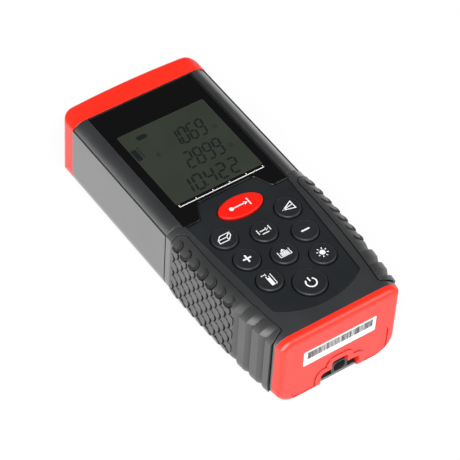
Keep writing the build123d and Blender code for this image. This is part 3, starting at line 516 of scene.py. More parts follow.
def scale_tree():
    """Staggered rows of scales, cast from the side onto the wall of a grip. Each one
    is a low rounded plate that rises towards its rear edge. Scales that stray too far
    over the ends of the field are left out, and the rest are trimmed to it."""
    tree, entry, leave = geometry_tree(
        "grip_scales",
        (
            ("Grip", "NodeSocketObject", None),
            ("Side", "NodeSocketFloat", 1.0),
            ("Columns", "NodeSocketInt", scale_columns),
            ("Rows", "NodeSocketInt", scale_rows),
            ("Pitch", "NodeSocketFloat", scale_pitch),
            ("Row Pitch", "NodeSocketFloat", scale_row),
            ("Centre", "NodeSocketVector", (0.0, 0.0, 0.0)),
            ("Field Low", "NodeSocketVector", (0.0, 0.0, 0.0)),
            ("Field High", "NodeSocketVector", (0.0, 0.0, 0.0)),
            ("Lag", "NodeSocketFloat", 0.0),
            ("Reach", "NodeSocketFloat", scale_reach),
            ("Root", "NodeSocketFloat", scale_root),
            ("Low", "NodeSocketFloat", scale_low),
            ("High", "NodeSocketFloat", scale_high),
            ("Finish", "NodeSocketMaterial", None),
        ),
    )
    n, link = tree.nodes, tree.links
    socket = entry.outputs

    plate = n.new("GeometryNodeMeshCone")
    plate.inputs["Vertices"].default_value = scale_sides
    plate.inputs["Side Segments"].default_value = 2
    plate.inputs["Depth"].default_value = 1.0
    link.new(socket["Reach"], plate.inputs["Radius Bottom"])
    crest_reach = math_node(tree, "MULTIPLY", socket["Reach"], scale_crest_share)
    link.new(crest_reach, plate.inputs["Radius Top"])
    spot = n.new("GeometryNodeInputPosition")
    spot_axes = n.new("ShaderNodeSeparateXYZ")
    link.new(spot.outputs[0], spot_axes.inputs[0])
    along = math_node(tree, "DIVIDE", spot_axes.outputs["X"], socket["Reach"])
    lean = math_node(tree, "MULTIPLY_ADD", along, 0.5, 0.5)
    rise = math_node(tree, "SUBTRACT", socket["High"], socket["Low"])
    crest = math_node(tree, "MULTIPLY_ADD", lean, rise, socket["Low"])
    shoulder = math_node(tree, "MULTIPLY", crest, scale_shoulder_share)
    ring = spot_axes.outputs["Z"]
    at_crest = math_node(tree, "GREATER_THAN", ring, crest_ring_above)
    at_root = math_node(tree, "LESS_THAN", ring, root_ring_below)
    upper = n.new("ShaderNodeMix")
    link.new(at_crest, upper.inputs["Factor"])
    link.new(shoulder, upper.inputs["A"])
    link.new(crest, upper.inputs["B"])
    height = n.new("ShaderNodeMix")
    link.new(at_root, height.inputs["Factor"])
    link.new(upper.outputs["Result"], height.inputs["A"])
    link.new(socket["Root"], height.inputs["B"])
    shaped = n.new("GeometryNodeSetPosition")
    link.new(plate.outputs["Mesh"], shaped.inputs["Geometry"])
    link.new(
        vector_of(
            tree, spot_axes.outputs["X"], spot_axes.outputs["Y"], height.outputs["Result"]
        ),
        shaped.inputs["Position"],
    )

    grid = n.new("GeometryNodeMeshGrid")
    span_x = math_node(tree, "SUBTRACT", socket["Columns"], 1.0)
    span_y = math_node(tree, "SUBTRACT", socket["Rows"], 1.0)
    size_x = math_node(tree, "MULTIPLY", span_x, socket["Pitch"])
    size_y = math_node(tree, "MULTIPLY", span_y, socket["Row Pitch"])
    link.new(size_x, grid.inputs["Size X"])
    link.new(size_y, grid.inputs["Size Y"])
    link.new(socket["Columns"], grid.inputs["Vertices X"])
    link.new(socket["Rows"], grid.inputs["Vertices Y"])
    row = math_node(tree, "DIVIDE", spot_axes.outputs["Y"], socket["Row Pitch"])
    row = math_node(tree, "ADD", row, math_node(tree, "MULTIPLY", span_y, 0.5))
    odd = math_node(tree, "MODULO", math_node(tree, "ROUND", row), 2.0)
    half_pitch = math_node(tree, "MULTIPLY", socket["Pitch"], 0.5)
    shift = math_node(tree, "MULTIPLY", odd, half_pitch)
    centre = n.new("ShaderNodeSeparateXYZ")
    link.new(socket["Centre"], centre.inputs[0])
    station = math_node(tree, "ADD", spot_axes.outputs["X"], centre.outputs["Y"])
    station = math_node(tree, "ADD", station, shift)
    level = math_node(tree, "ADD", spot_axes.outputs["Y"], centre.outputs["Z"])
    away = math_node(tree, "MULTIPLY", socket["Side"], cast_start)
    spread = n.new("GeometryNodeSetPosition")
    link.new(grid.outputs["Mesh"], spread.inputs["Geometry"])
    link.new(vector_of(tree, away, station, level), spread.inputs["Position"])

    grip = n.new("GeometryNodeObjectInfo")
    link.new(socket["Grip"], grip.inputs["Object"])
    cast = n.new("GeometryNodeRaycast")
    link.new(grip.outputs["Geometry"], cast.inputs["Target Geometry"])
    inward = math_node(tree, "MULTIPLY", socket["Side"], -1.0)
    link.new(vector_of(tree, inward, 0.0, 0.0), cast.inputs["Ray Direction"])
    cast.inputs["Ray Length"].default_value = cast_length
    field_low = n.new("ShaderNodeSeparateXYZ")
    field_high = n.new("ShaderNodeSeparateXYZ")
    link.new(socket["Field Low"], field_low.inputs[0])
    link.new(socket["Field High"], field_high.inputs[0])
    behind = math_node(tree, "SUBTRACT", field_low.outputs["Y"], spot_axes.outputs["Y"])
    ahead = math_node(tree, "SUBTRACT", spot_axes.outputs["Y"], field_high.outputs["Y"])
    ahead = math_node(tree, "ADD", ahead, socket["Lag"])
    rear_limit = math_node(tree, "MULTIPLY", socket["Reach"], rear_overhang)
    front_limit = math_node(tree, "MULTIPLY", socket["Reach"], front_overhang)
    stray = math_node(
        tree,
        "MAXIMUM",
        math_node(tree, "GREATER_THAN", behind, rear_limit),
        math_node(tree, "GREATER_THAN", ahead, front_limit),
    )
    missed = math_node(tree, "SUBTRACT", 1.0, cast.outputs["Is Hit"])
    kept = n.new("GeometryNodeDeleteGeometry")
    link.new(spread.outputs["Geometry"], kept.inputs["Geometry"])
    link.new(math_node(tree, "MAXIMUM", stray, missed), kept.inputs["Selection"])
    remember = n.new("GeometryNodeStoreNamedAttribute")
    remember.data_type = "FLOAT_VECTOR"
    remember.inputs["Name"].default_value = "wall_normal"
    link.new(kept.outputs["Geometry"], remember.inputs["Geometry"])
    link.new(cast.outputs["Hit Normal"], remember.inputs["Value"])
    seated = n.new("GeometryNodeSetPosition")
    link.new(remember.outputs["Geometry"], seated.inputs["Geometry"])
    link.new(cast.outputs["Hit Position"], seated.inputs["Position"])
    recall = n.new("GeometryNodeInputNamedAttribute")
    recall.data_type = "FLOAT_VECTOR"
    recall.inputs["Name"].default_value = "wall_normal"
    turned = n.new("FunctionNodeAxesToRotation")
    turned.primary_axis = "Z"
    turned.secondary_axis = "X"
    link.new(recall.outputs["Attribute"], turned.inputs["Primary Axis"])
    turned.inputs["Secondary Axis"].default_value = (0.0, -1.0, 0.0)
    placed = n.new("GeometryNodeInstanceOnPoints")
    link.new(seated.outputs["Geometry"], placed.inputs["Points"])
    link.new(shaped.outputs["Geometry"], placed.inputs["Instance"])
    link.new(turned.outputs["Rotation"], placed.inputs["Rotation"])

    real = n.new("GeometryNodeRealizeInstances")
    link.new(placed.outputs["Instances"], real.inputs["Geometry"])
    above = n.new("ShaderNodeVectorMath")
    above.operation = "MAXIMUM"
    below = n.new("ShaderNodeVectorMath")
    below.operation = "MINIMUM"
    link.new(spot.outputs[0], above.inputs[0])
    link.new(socket["Field Low"], above.inputs[1])
    link.new(above.outputs[0], below.inputs[0])
    link.new(socket["Field High"], below.inputs[1])
    trimmed = n.new("GeometryNodeSetPosition")
    link.new(real.outputs["Geometry"], trimmed.inputs["Geometry"])
    link.new(below.outputs[0], trimmed.inputs["Position"])
    forget = n.new("GeometryNodeRemoveAttribute")
    forget.inputs["Name"].default_value = "wall_normal"
    link.new(trimmed.outputs["Geometry"], forget.inputs["Geometry"])
    paint = finish_tree(tree, leave, forget.outputs["Geometry"], grip_rubber)
    link.new(socket["Finish"], paint.inputs["Material"])
    return tree


grip_scales = scale_tree()


def lay_scales(name, node, side, row_z, rows, shift, rise, low, high, reach, finish):
    """One layer of the scale field of a grip, as a piece of its own."""
    grip_low, grip_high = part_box(node)
    field_front = grip_high.y - field_front_land
    field_rear = grip_low.y + field_rear_reach
    middle_y = (field_front + field_rear) / 2 - scale_pitch / 4
    layer = grown_mesh(
        name,
        grip_scales,
        {
            "Grip": nodes[node],
            "Side": side,
            "Rows": rows,
            "Centre": (0.0, middle_y - shift, row_z + (rows - 1) * scale_row / 2 + rise),
            "Field Low": (-1.0, field_rear, grip_low.z + field_floor_land),
            "Field High": (1.0, field_front, 1.0),
            "Lag": shift,
            "Reach": reach,
            "Low": low,
            "High": high,
            "Finish": finish,
        },
    )
    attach(layer, "housing")


# Each layer: ending of its name, height of its first row, rows, how far it lies back
# and up, its low and high edge over the wall, the reach of one scale, and its finish.
scale_layers = (
    ("_scales", field_first_row_z, scale_rows,
     0.0, 0.0, scale_low, scale_high, scale_reach, grip_rubber),
    # Painted shadow: the shade-plate layers are dark plates behind the scales.
    ("_scale_gaps", field_first_row_z, scale_rows,
     shadow_plate_shift, shadow_plate_rise, shadow_plate_level, shadow_plate_level, scale_reach, scale_shadow),
    ("_top_scales", top_row_z, 1,
     0.0, 0.0, top_low, top_high, top_reach, shoulder_rubber),
    ("_top_scale_gaps", top_row_z, 1,
     top_shadow_plate_shift, 0.0, top_low, top_shadow_plate_high, top_reach, scale_shadow),
)
for node, side in (("grip_right", 1.0), ("grip_left", -1.0)):
    for ending, *layer in scale_layers:
        lay_scales(node + ending, node, side, *layer)

# ---- Display ----
# A dark glossy window, glued flush into the deck and printed black on its underside
# around a clear view. The liquid crystal panel under it shows three measurements.

window_gloss = moulded(
    "window_gloss",
    dark=(0.0022, 0.0022, 0.0025),
    light=(0.0034, 0.0034, 0.0038),
    rough=(0.07, 0.10),
    relief=0.0,
    edge=0.0006,
    rubbed=(0.004, 0.004, 0.0045),
)
dress(("display_window",), window_gloss)

crystal_green = moulded(
    "crystal_green",
    dark=(0.024, 0.030, 0.021),
    light=(0.034, 0.041, 0.029),
    rough=(0.16, 0.24),
    relief=0.0,
)
dress(("lcd_panel",), crystal_green)

digit_dark = moulded(
    "digit_dark",
    dark=(0.0085, 0.0100, 0.0125),
    light=(0.0120, 0.0140, 0.0150),
    rough=(0.16, 0.24),
    relief=0.0,
)
digit_faint = moulded(
    "digit_faint",
    dark=(0.0200, 0.0250, 0.0190),
    light=(0.0250, 0.0300, 0.0225),
    rough=(0.16, 0.24),
    relief=0.0,
)
view_rim = moulded(
    "view_rim",
    dark=(0.030, 0.027, 0.026),
    light=(0.045, 0.041, 0.040),
    rough=(0.3, 0.4),
    relief=0.05,
)
white_ink = moulded(
    "white_ink",
    dark=(0.74, 0.74, 0.74),
    light=(0.84, 0.84, 0.84),
    rough=(0.42, 0.52),
    relief=0.05,
    grain=5200.0,
)

window_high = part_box("display_window")[1]
view_left = -0.0163
view_right = 0.0158
view_front_land = 0.0122
view_rear_reach = 0.0452
view_low = Vector((view_left, window_high.y - view_rear_reach))
view_high = Vector((view_right, window_high.y - view_front_land))
view_corner = 0.0004
rim_corner = 0.0006
rim_width = 0.0003
rim_level = window_high.z + 0.00001
film_level = window_high.z + 0.00002
digit_level = window_high.z + 0.00003
print_level = window_high.z + 0.00004


def rounded_rectangle(low_x, low_y, high_x, high_y, radius, steps=4):
    """Corner points of a rounded rectangle, anticlockwise."""
    corners = (
        (high_x - radius, high_y - radius, 0.0),
        (low_x + radius, high_y - radius, 90.0),
        (low_x + radius, low_y + radius, 180.0),
        (high_x - radius, low_y + radius, 270.0),
    )
    points = []
    for x, y, start in corners:
        for index in range(steps + 1):
            angle = math.radians(start + 90.0 * index / steps)
            points.append((x + radius * math.cos(angle), y + radius * math.sin(angle)))
    return points


def flat_marks(name, shapes, level, material):
    """Flat printed marks in one mesh, each a closed outline facing up."""
    points, faces = [], []
    for shape in shapes:
        start = len(points)
        points.extend((x, y, level) for x, y in shape)
        faces.append(tuple(range(start, len(points))))
    return add_mesh(name, points, faces, material)


def mark(name, shapes, level, material, body="housing"):
    """Printed marks that ride on a body and take a slot's finish."""
    piece = flat_marks(name, shapes, level, material)
    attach(piece, body)
    return piece


rim = rounded_rectangle(
    view_low.x - rim_width,
    view_low.y - rim_width,
    view_high.x + rim_width,
    view_high.y + rim_width,
    rim_corner,
)
mark("display_rim", [rim], rim_level, view_rim)
view = rounded_rectangle(view_low.x, view_low.y, view_high.x, view_high.y, view_corner)
mark("display_view", [view], film_level, crystal_green)

segments = {
    "0": "abcdef",
    "1": "bc",
    "2": "abged",
    "4": "fgbc",
    "6": "afgedc",
    "8": "abcdefg",
    "9": "gfabcd",
}
digit_lean = 0.17
digit_gap_share = 0.35


def segment_bar(x0, y0, x1, y1, half):
    """One pointed bar of a seven-segment digit, as six corners."""
    dx, dy = x1 - x0, y1 - y0
    length = math.hypot(dx, dy)
    dx, dy = dx / length, dy / length
    nx, ny = -dy, dx
    return [
        (x0, y0),
        (x0 + dx * half - nx * half, y0 + dy * half - ny * half),
        (x1 - dx * half - nx * half, y1 - dy * half - ny * half),
        (x1, y1),
        (x1 - dx * half + nx * half, y1 - dy * half + ny * half),
        (x0 + dx * half + nx * half, y0 + dy * half + ny * half),
    ]


def digit_bars(text, right, base, width, height, pitch, half):
    """Bars of a right-aligned row of digits; a dot takes no room of its own."""
    bars = []
    places = len(text.replace(".", ""))
    index = 0
    for sign in text:
        left = right - width - (places - 1 - index) * pitch
        if sign == ".":
            x = left - (pitch - width) / 2
            bars.append(segment_bar(x - half, base + half, x + half, base + half, half))
            continue
        gap = half * digit_gap_share
        middle = height / 2
        rows = {
            "a": (gap, height, width - gap, height),
            "b": (width, middle + gap, width, height - gap),
            "c": (width, gap, width, middle - gap),
            "d": (gap, 0.0, width - gap, 0.0),
            "e": (0.0, gap, 0.0, middle - gap),
            "f": (0.0, middle + gap, 0.0, height - gap),
            "g": (gap, middle, width - gap, middle),
        }
        for key in segments[sign]:
            x0, y0, x1, y1 = rows[key]
            bars.append(segment_bar(left + x0, base + y0, left + x1, base + y1, half))
        index += 1
    return [[(x + (y - base) * digit_lean, y) for x, y in bar] for bar in bars]


# Each row: its text, right end, height over the foot of the view, then the width,
# height and pitch of its digits and half the width of their bars.
digit_rows = (
    ("1.069", 0.0093, 0.0200, 0.0022, 0.0066, 0.0033, 0.00036),
    ("2.899", 0.0092, 0.0101, 0.0024, 0.0066, 0.0036, 0.00036),
    ("10.422", 0.0090, 0.0012, 0.0028, 0.0060, 0.0044, 0.00040),
)
bars = []
for text, right, base, width, height, pitch, half in digit_rows:
    bars += digit_bars(text, right, view_low.y + base, width, height, pitch, half)
mark("display_digits", bars, digit_level, digit_dark)

# Each plate of a small sign: left, foot, right, top and corner, from the view's foot.
dark_plates = (
    (-0.0114, 0.0286, -0.0081, 0.0305, 0.0003),
    (-0.0081, 0.0291, -0.0076, 0.0300, 0.0001),
    (-0.0162, 0.0212, -0.0143, 0.0262, 0.0004),
    (-0.0137, 0.0216, -0.0134, 0.0268, 0.0001),
)
faint_plates = (
    (-0.0107, 0.0264, -0.0085, 0.0267, 0.0001),
    (-0.0100, 0.0193, -0.0086, 0.0210, 0.0004),
    (-0.0094, 0.0206, -0.0091, 0.0228, 0.0001),
    (0.0119, 0.0204, 0.0134, 0.0221, 0.0003),
    (0.0117, 0.0108, 0.0132, 0.0125, 0.0003),
)


def small_signs(name, plates, material):
    """Small signs of the display, each made of rounded plates."""
    shapes = [
        rounded_rectangle(left, view_low.y + foot, right, view_low.y + top, corner)
        for left, foot, right, top, corner in plates
    ]
    mark(name, shapes, digit_level, material)


small_signs("display_signs", dark_plates, digit_dark)
small_signs("display_faint_signs", faint_plates, digit_faint)

ruler_inset = 0.0006
ruler_drop = 0.0016


def plain_plate(tree):
    """A flat plate of one face."""
    plate = tree.nodes.new("GeometryNodeMeshGrid")
    plate.inputs["Vertices X"].default_value = 2
    plate.inputs["Vertices Y"].default_value = 2
    return plate


def tick_tree():
    """A printed scale: one long base line with short and long ticks standing on it."""
    tree, entry, leave = geometry_tree(
        "printed_ticks",
        (
            ("Ticks", "NodeSocketInt", 11),
            ("Length", "NodeSocketFloat", 0.03),
            ("Centre", "NodeSocketVector", (0.0, 0.0, 0.0)),
            ("Stroke", "NodeSocketFloat", 0.0003),
            ("Tick Height", "NodeSocketFloat", 0.0007),
            ("Short Cut", "NodeSocketFloat", 0.6),
        ),
    )
    n, link = tree.nodes, tree.links
    socket = entry.outputs
    half = math_node(tree, "MULTIPLY", socket["Length"], -0.5)
    start = n.new("ShaderNodeVectorMath")
    start.operation = "ADD"
    link.new(socket["Centre"], start.inputs[0])
    link.new(vector_of(tree, half, 0.0, 0.0), start.inputs[1])
    gaps = math_node(tree, "SUBTRACT", socket["Ticks"], 1.0)
    step = math_node(tree, "DIVIDE", socket["Length"], gaps)
    row = n.new("GeometryNodeMeshLine")
    link.new(socket["Ticks"], row.inputs["Count"])
    link.new(start.outputs[0], row.inputs["Start Location"])
    link.new(vector_of(tree, step, 0.0, 0.0), row.inputs["Offset"])
    order = n.new("GeometryNodeInputIndex")
    odd = math_node(tree, "MODULO", order.outputs[0], 2.0)
    cut = math_node(tree, "MULTIPLY", odd, socket["Short Cut"])
    tall = math_node(tree, "SUBTRACT", 1.0, cut)
    tick = plain_plate(tree)
    link.new(socket["Stroke"], tick.inputs["Size X"])
    link.new(socket["Tick Height"], tick.inputs["Size Y"])
    foot = n.new("GeometryNodeTransform")
    link.new(tick.outputs["Mesh"], foot.inputs["Geometry"])
    lift = math_node(tree, "MULTIPLY", socket["Tick Height"], 0.5)
    link.new(vector_of(tree, 0.0, lift, 0.0), foot.inputs["Translation"])
    standing = n.new("GeometryNodeInstanceOnPoints")
    link.new(row.outputs["Mesh"], standing.inputs["Points"])
    link.new(foot.outputs["Geometry"], standing.inputs["Instance"])
    link.new(vector_of(tree, 1.0, tall, 1.0), standing.inputs["Scale"])
    base = plain_plate(tree)
    whole = math_node(tree, "ADD", socket["Length"], socket["Stroke"])
    link.new(whole, base.inputs["Size X"])
    link.new(socket["Stroke"], base.inputs["Size Y"])
    laid = n.new("GeometryNodeTransform")
    link.new(base.outputs["Mesh"], laid.inputs["Geometry"])
    link.new(socket["Centre"], laid.inputs["Translation"])
    both = n.new("GeometryNodeJoinGeometry")
    link.new(standing.outputs["Instances"], both.inputs["Geometry"])
    link.new(laid.outputs["Geometry"], both.inputs["Geometry"])
    finish_tree(tree, leave, both.outputs["Geometry"], white_ink)
    return tree


ruler = grown_mesh(
    "display_ruler",
    tick_tree(),
    {
        "Length": view_high.x - view_low.x - ruler_inset,
        "Centre": ((view_low.x + view_high.x) / 2, view_low.y - ruler_drop, print_level),
        "Stroke": 0.00030,
        "Tick Height": 0.00080,
    },
)
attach(ruler, "housing")

# ---- Keypad ----
# Ten silicone keys, each in its own hole of a thin satin panel and held up by the snap
# dome under it. The measuring key is moulded in red, and the signs are printed on top.

keypad_plastic = moulded(
    "keypad_plastic",
    dark=(0.0095, 0.0110, 0.0130),
    light=(0.0130, 0.0150, 0.0170),
    rough=(0.36, 0.46),
    relief=0.20,
    rubbed=(0.040, 0.042, 0.045),
)
dress(("keypad_panel",), keypad_plastic)
key_rubber = moulded(
    "key_rubber",
    dark=(0.0100, 0.0110, 0.0130),
    light=(0.0145, 0.0155, 0.0180),
    rough=(0.38, 0.48),
    relief=0.20,
    rubbed=(0.030, 0.031, 0.034),
    ior=1.45,
)
measure_rubber = moulded(
    "measure_rubber",
    dark=(0.72, 0.009, 0.004),
    light=(0.80, 0.013, 0.006),
    rough=(0.36, 0.44),
    relief=0.10,
    rubbed=(0.84, 0.03, 0.015),
    ior=1.4,
    level=0.35,
)
for name in nodes:
    if name.startswith("key_"):
        dress((name,), measure_rubber if name == "key_measure" else key_rubber)

sign_stroke = 0.00017
sign_height = 0.00004
mitre_least = 0.35


def arc(x, y, radius, start, end, steps=16):
    """Points of an arc about a centre, in degrees."""
    turns = [math.radians(start + (end - start) * k / steps) for k in range(steps + 1)]
    return [(x + radius * math.cos(turn), y + radius * math.sin(turn)) for turn in turns]


def stroke_faces(points, half, closed=False):
    """Corner pairs along a line of the given half width, with mitred joints."""
    count = len(points)
    pairs = []
    for index, (x, y) in enumerate(points):
        before = points[index - 1] if index > 0 or closed else None
        after = points[(index + 1) % count] if index < count - 1 or closed else None
        first = Vector((x, y)) - Vector(before) if before else None
        second = Vector(after) - Vector((x, y)) if after else None
        first = (first or second).normalized()
        second = (second or first).normalized()
        middle = (first + second).normalized()
        reach = half / max(mitre_least, middle.dot(first))
        side = Vector((-middle.y, middle.x)) * reach
        pairs.append(((x + side.x, y + side.y), (x - side.x, y - side.y)))
    faces = []
    for k in range(count if closed else count - 1):
        (left, right), (next_left, next_right) = pairs[k], pairs[(k + 1) % count]
        faces.append([right, next_right, next_left, left])
    return faces


def key_sign(key, lines, fills=(), size=1.0, drop=0.0, stroke=sign_stroke):
    """The printed sign of one key, in millimetres about the middle of its top."""
    low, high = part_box(key)
    middle_x = (low.x + high.x) / 2
    middle_y = (low.y + high.y) / 2 + drop
    scale = size / 1000.0
    shapes = []
    for points, closed in lines:
        placed = [(middle_x + x * scale, middle_y + y * scale) for x, y in points]
        shapes.extend(stroke_faces(placed, stroke, closed))
    for points in fills:
        shapes.append([(middle_x + x * scale, middle_y + y * scale) for x, y in points])
    mark(key + "_sign", shapes, high.z + sign_height, white_ink, key + "_body")


# Volume: a box seen from one corner.
key_sign(
    "key_volume",
    [
        ([(-2.2, -1.3), (-2.2, -0.1), (0.7, -0.1), (0.7, -1.3)], True),
        ([(-2.2, -0.1), (-0.9, 1.1), (2.1, 1.1), (0.7, -0.1)], False),
        ([(2.1, 1.1), (2.1, 0.0), (0.7, -1.3)], False),
    ],
    size=1.1,
    stroke=0.00015,
)

# Continuous measuring: a marked length between its two ends.
key_sign(
    "key_tracking",
    [
        ([(-2.1, -1.0), (-2.1, 1.0)], False),
        ([(2.1, -1.0), (2.1, 1.0)], False),
        ([(-1.5, 0.0), (1.3, 0.0)], False),
        ([(-1.3, -1.3), (1.3, -1.3)], False),
    ],
    fills=[[(0.6, -0.65), (1.7, 0.0), (0.6, 0.65)]],
    drop=0.0004,
)

# Indirect measuring: a triangle with one inner side.
key_sign(
    "key_indirect",
    [
        ([(-2.1, -0.4), (1.8, 1.6), (1.9, -1.5)], True),
        ([(-2.1, -0.4), (1.85, 0.3)], False),
    ],
)

# Add and subtract.
key_sign(
    "key_plus",
    [([(-1.5, 0.0), (1.5, 0.0)], False), ([(0.0, 0.25), (0.0, 1.5)], False),
     ([(0.0, -0.25), (0.0, -1.5)], False)],
    stroke=0.00028,
)
key_sign("key_minus", [([(-1.5, 0.0), (1.5, 0.0)], False)], stroke=0.00028)

# Area: a level filling in an open tray.
tray_lines = [([(-2.1, 1.2), (-2.1, -1.2), (2.1, -1.2), (2.1, 1.2)], False)]
for step in range(4):
    level = -0.75 + 0.42 * step
    tray_lines.append(([(-1.5, level), (1.5, level)], False))
key_sign(
    "key_area",
    tray_lines,
    fills=[[(-0.9, 0.9), (0.9, 0.9), (0.0, 1.8)]],
    size=0.95,
    stroke=0.00014,
)

# Measuring reference: the meter with its front and rear datum lines.
key_sign(
    "key_reference",
    [
        ([(-1.5, 2.6), (-0.2, 2.6)], False),
        ([(-0.2, 1.9), (-0.2, 3.0)], False),
        ([(1.4, 2.2), (1.4, -2.2), (0.9, -2.6)], False),
    ],
    fills=[
        [(-0.8, 1.6), (-0.8, -2.6), (0.6, -2.6), (0.6, 1.6), (0.3, 1.6), (0.3, 0.8),
         (-0.4, 0.8), (-0.4, 1.6)],
        arc(-1.6, 2.6, 0.3, 0.0, 337.5, 15),
    ],
    size=0.9,
    stroke=0.00014,
)

# Light: a small lamp with rays.
ray_lines = []
for step in range(8):
    turn = math.radians(step * 45.0 + 22.5)
    ray = [(reach * math.cos(turn), reach * math.sin(turn)) for reach in (1.35, 1.95)]
    ray_lines.append((ray, False))
key_sign("key_units", ray_lines, fills=[arc(0.0, 0.0, 0.95, 0.0, 345.0, 23)], drop=0.0003)

# Off and clear: the ring and stroke of a power key.
key_sign(
    "key_clear",
    [(arc(0.0, 0.0, 1.65, 130.0, 410.0, 28), False), ([(0.0, 0.5), (0.0, 2.1)], False)],
    size=1.05,
    drop=-0.0006,
    stroke=0.00024,
)

# Measure: a spot with its beam and a target line.
key_sign(
    "key_measure",
    [
        ([(-2.6, 0.0), (1.6, 0.0)], False),
        ([(3.0, -1.5), (3.0, 1.5)], False),
    ],
    fills=[
        arc(-3.4, 0.0, 0.75, 0.0, 345.0, 23),
        [(1.3, -0.75), (2.6, 0.0), (1.3, 0.75)],
    ],
    stroke=0.00022,
)

# ---- Rating label ----
# A white polyester label, glued flush into its seat on the rear cap's wall. It is
# printed with a plain row of dark bars of uneven width, and no words.

label_paper = moulded(
    "label_paper",
    dark=(0.76, 0.76, 0.77),
    light=(0.84, 0.84, 0.85),
    rough=(0.42, 0.52),
    relief=0.05,
    edge=0.0001,
)
dress(("rating_label",), label_paper)
bar_ink = moulded(
    "bar_ink",
    dark=(0.012, 0.012, 0.014),
    light=(0.022, 0.022, 0.025),
    rough=(0.42, 0.52),
    relief=0.0,
)

label_low, label_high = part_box("rating_label")
bar_margin = 0.0016
bar_drop = 0.0023
bar_lift = 0.00003
bar_count = 48


def bar_tree():
    """A row of upright printed bars of uneven width, on a plane facing the rear."""
    tree, entry, leave = geometry_tree(
        "label_bars",
        (
            ("Bars", "NodeSocketInt", bar_count),
            ("Pitch", "NodeSocketFloat", 0.0005),
            ("Start", "NodeSocketVector", (0.0, 0.0, 0.0)),
            ("Narrow", "NodeSocketFloat", 0.00016),
            ("Wide", "NodeSocketFloat", 0.00048),
            ("Height", "NodeSocketFloat", 0.0031),
            ("Seed", "NodeSocketInt", 5),
        ),
    )
    n, link = tree.nodes, tree.links
    socket = entry.outputs
    row = n.new("GeometryNodeMeshLine")
    link.new(socket["Bars"], row.inputs["Count"])
    link.new(socket["Start"], row.inputs["Start Location"])
    link.new(vector_of(tree, socket["Pitch"], 0.0, 0.0), row.inputs["Offset"])
    bar = plain_plate(tree)
    bar.inputs["Size X"].default_value = 1.0
    link.new(socket["Height"], bar.inputs["Size Y"])
    upright = n.new("GeometryNodeTransform")
    upright.inputs["Rotation"].default_value = (math.radians(90.0), 0.0, 0.0)
    link.new(bar.outputs["Mesh"], upright.inputs["Geometry"])
    width = n.new("FunctionNodeRandomValue")
    width.data_type = "FLOAT"
    link.new(socket["Narrow"], width.inputs["Min"])
    link.new(socket["Wide"], width.inputs["Max"])
    link.new(socket["Seed"], width.inputs["Seed"])
    standing = n.new("GeometryNodeInstanceOnPoints")
    link.new(row.outputs["Mesh"], standing.inputs["Points"])
    link.new(upright.outputs["Geometry"], standing.inputs["Instance"])
    link.new(vector_of(tree, width.outputs["Value"], 1.0, 1.0), standing.inputs["Scale"])
    finish_tree(tree, leave, standing.outputs["Instances"], bar_ink)
    return tree


label_bars = grown_mesh(
    "label_bars",
    bar_tree(),
    {
        "Bars": bar_count,
        "Pitch": (label_high.x - label_low.x - 2 * bar_margin) / (bar_count - 1),
        "Start": (
            label_low.x + bar_margin,
            label_low.y - bar_lift,
            label_high.z - bar_drop,
        ),
    },
)
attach(label_bars, "housing")

# ---- Strap eyelet and battery bay ----
# Dark acetal. The eyelet block sits behind the rear cap's cut-out; the bay stands on
# the lower shell's floor and holds two cells between their plates and springs. The
# buzzer's can and the receiver's barrel are moulded in the same.

dark_acetal = moulded(
    "dark_acetal",
    dark=(0.018, 0.018, 0.019),
    light=(0.028, 0.028, 0.029),
    rough=(0.32, 0.42),
    relief=0.15,
    rubbed=(0.09, 0.09, 0.09),
)
dress(("strap_eyelet", "battery_bay", "buzzer", "receiver_tube"), dark_acetal)
cell_jacket = moulded(
    "cell_jacket",
    dark=(0.02, 0.05, 0.12),
    light=(0.03, 0.07, 0.16),
    rough=(0.28, 0.36),
    relief=0.04,
    grain=900.0,
)
dress(("battery_cell_left", "battery_cell_right"), cell_jacket)

# ---- Screws, springs and metal parts ----
# Zinc-plated steel screws, contact plates, springs and snap domes. The bracket that
# carries both barrels is cast alloy, and the emitter's barrel is brass.

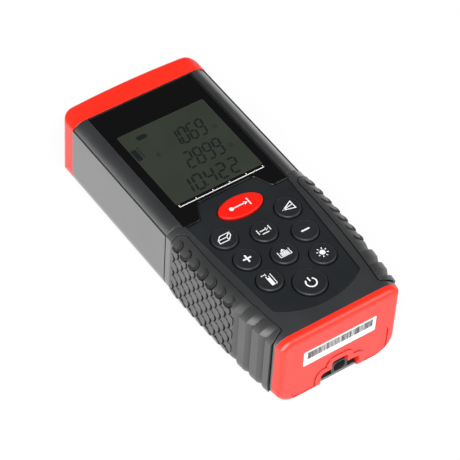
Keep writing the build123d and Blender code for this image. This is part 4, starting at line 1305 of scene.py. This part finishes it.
bright_steel = moulded(
    "bright_steel",
    dark=(0.46, 0.46, 0.47),
    light=(0.58, 0.58, 0.59),
    rough=(0.24, 0.36),
    relief=0.12,
    grain=4200.0,
    edge=0.0001,
    metallic=1.0,
)
steel_nodes = (
    "board_screws",
    "case_screws",
    "contact_plates",
    "contact_springs",
    "snap_domes",
    "laser_diode",
)
dress(steel_nodes, bright_steel)
cast_alloy = moulded(
    "cast_alloy",
    dark=(0.30, 0.30, 0.31),
    light=(0.40, 0.40, 0.41),
    rough=(0.42, 0.56),
    relief=0.35,
    grain=1800.0,
    metallic=1.0,
)
dress(("optic_bracket",), cast_alloy)
emitter_brass = moulded(
    "emitter_brass",
    dark=(0.58, 0.40, 0.15),
    light=(0.70, 0.50, 0.20),
    rough=(0.22, 0.32),
    relief=0.10,
    grain=3800.0,
    metallic=1.0,
)
dress(("emitter_tube",), emitter_brass)

# ---- Circuit boards ----
# Green solder-masked laminate. The main board is screwed up against posts of the upper
# shell, under the keys and the display; the sensor board stands behind the receiver.

board_laminate = moulded(
    "board_laminate",
    dark=(0.008, 0.10, 0.035),
    light=(0.014, 0.15, 0.055),
    rough=(0.30, 0.42),
    relief=0.15,
    grain=1400.0,
)
dress(("main_board", "sensor_board"), board_laminate)

# ---- Optics ----
# A smoke-tinted acrylic window in the front cap, and two clear glass lenses behind it
# in their barrels. The light guide under the display is clear as well.

haze_scale = 160.0


def clear_material(name, tint, rough, ior):
    """A clear moulded or ground piece with a faint unevenness in its polish."""
    material, tree, output = new_tree(name)
    shader = tree.nodes.new("ShaderNodeBsdfPrincipled")
    place = tree.nodes.new("ShaderNodeTexCoord")
    haze = tree.nodes.new("ShaderNodeTexNoise")
    haze.inputs["Scale"].default_value = haze_scale
    polish_range = tree.nodes.new("ShaderNodeMapRange")
    polish_range.inputs["To Min"].default_value = rough[0]
    polish_range.inputs["To Max"].default_value = rough[1]
    tree.links.new(place.outputs["Object"], haze.inputs["Vector"])
    tree.links.new(haze.outputs["Fac"], polish_range.inputs["Value"])
    tree.links.new(polish_range.outputs["Result"], shader.inputs["Roughness"])
    shader.inputs["Base Color"].default_value = (*tint, 1.0)
    shader.inputs["Transmission Weight"].default_value = 1.0
    shader.inputs["IOR"].default_value = ior
    tree.links.new(shader.outputs[0], output.inputs["Surface"])
    return material


smoke_acrylic = clear_material("smoke_acrylic", (0.30, 0.24, 0.25), (0.02, 0.05), 1.49)
dress(("optic_window",), smoke_acrylic)
lens_glass = clear_material("lens_glass", (0.95, 0.97, 0.96), (0.01, 0.03), 1.52)
dress(("receiver_lens", "emitter_lens", "backlight_guide"), lens_glass)
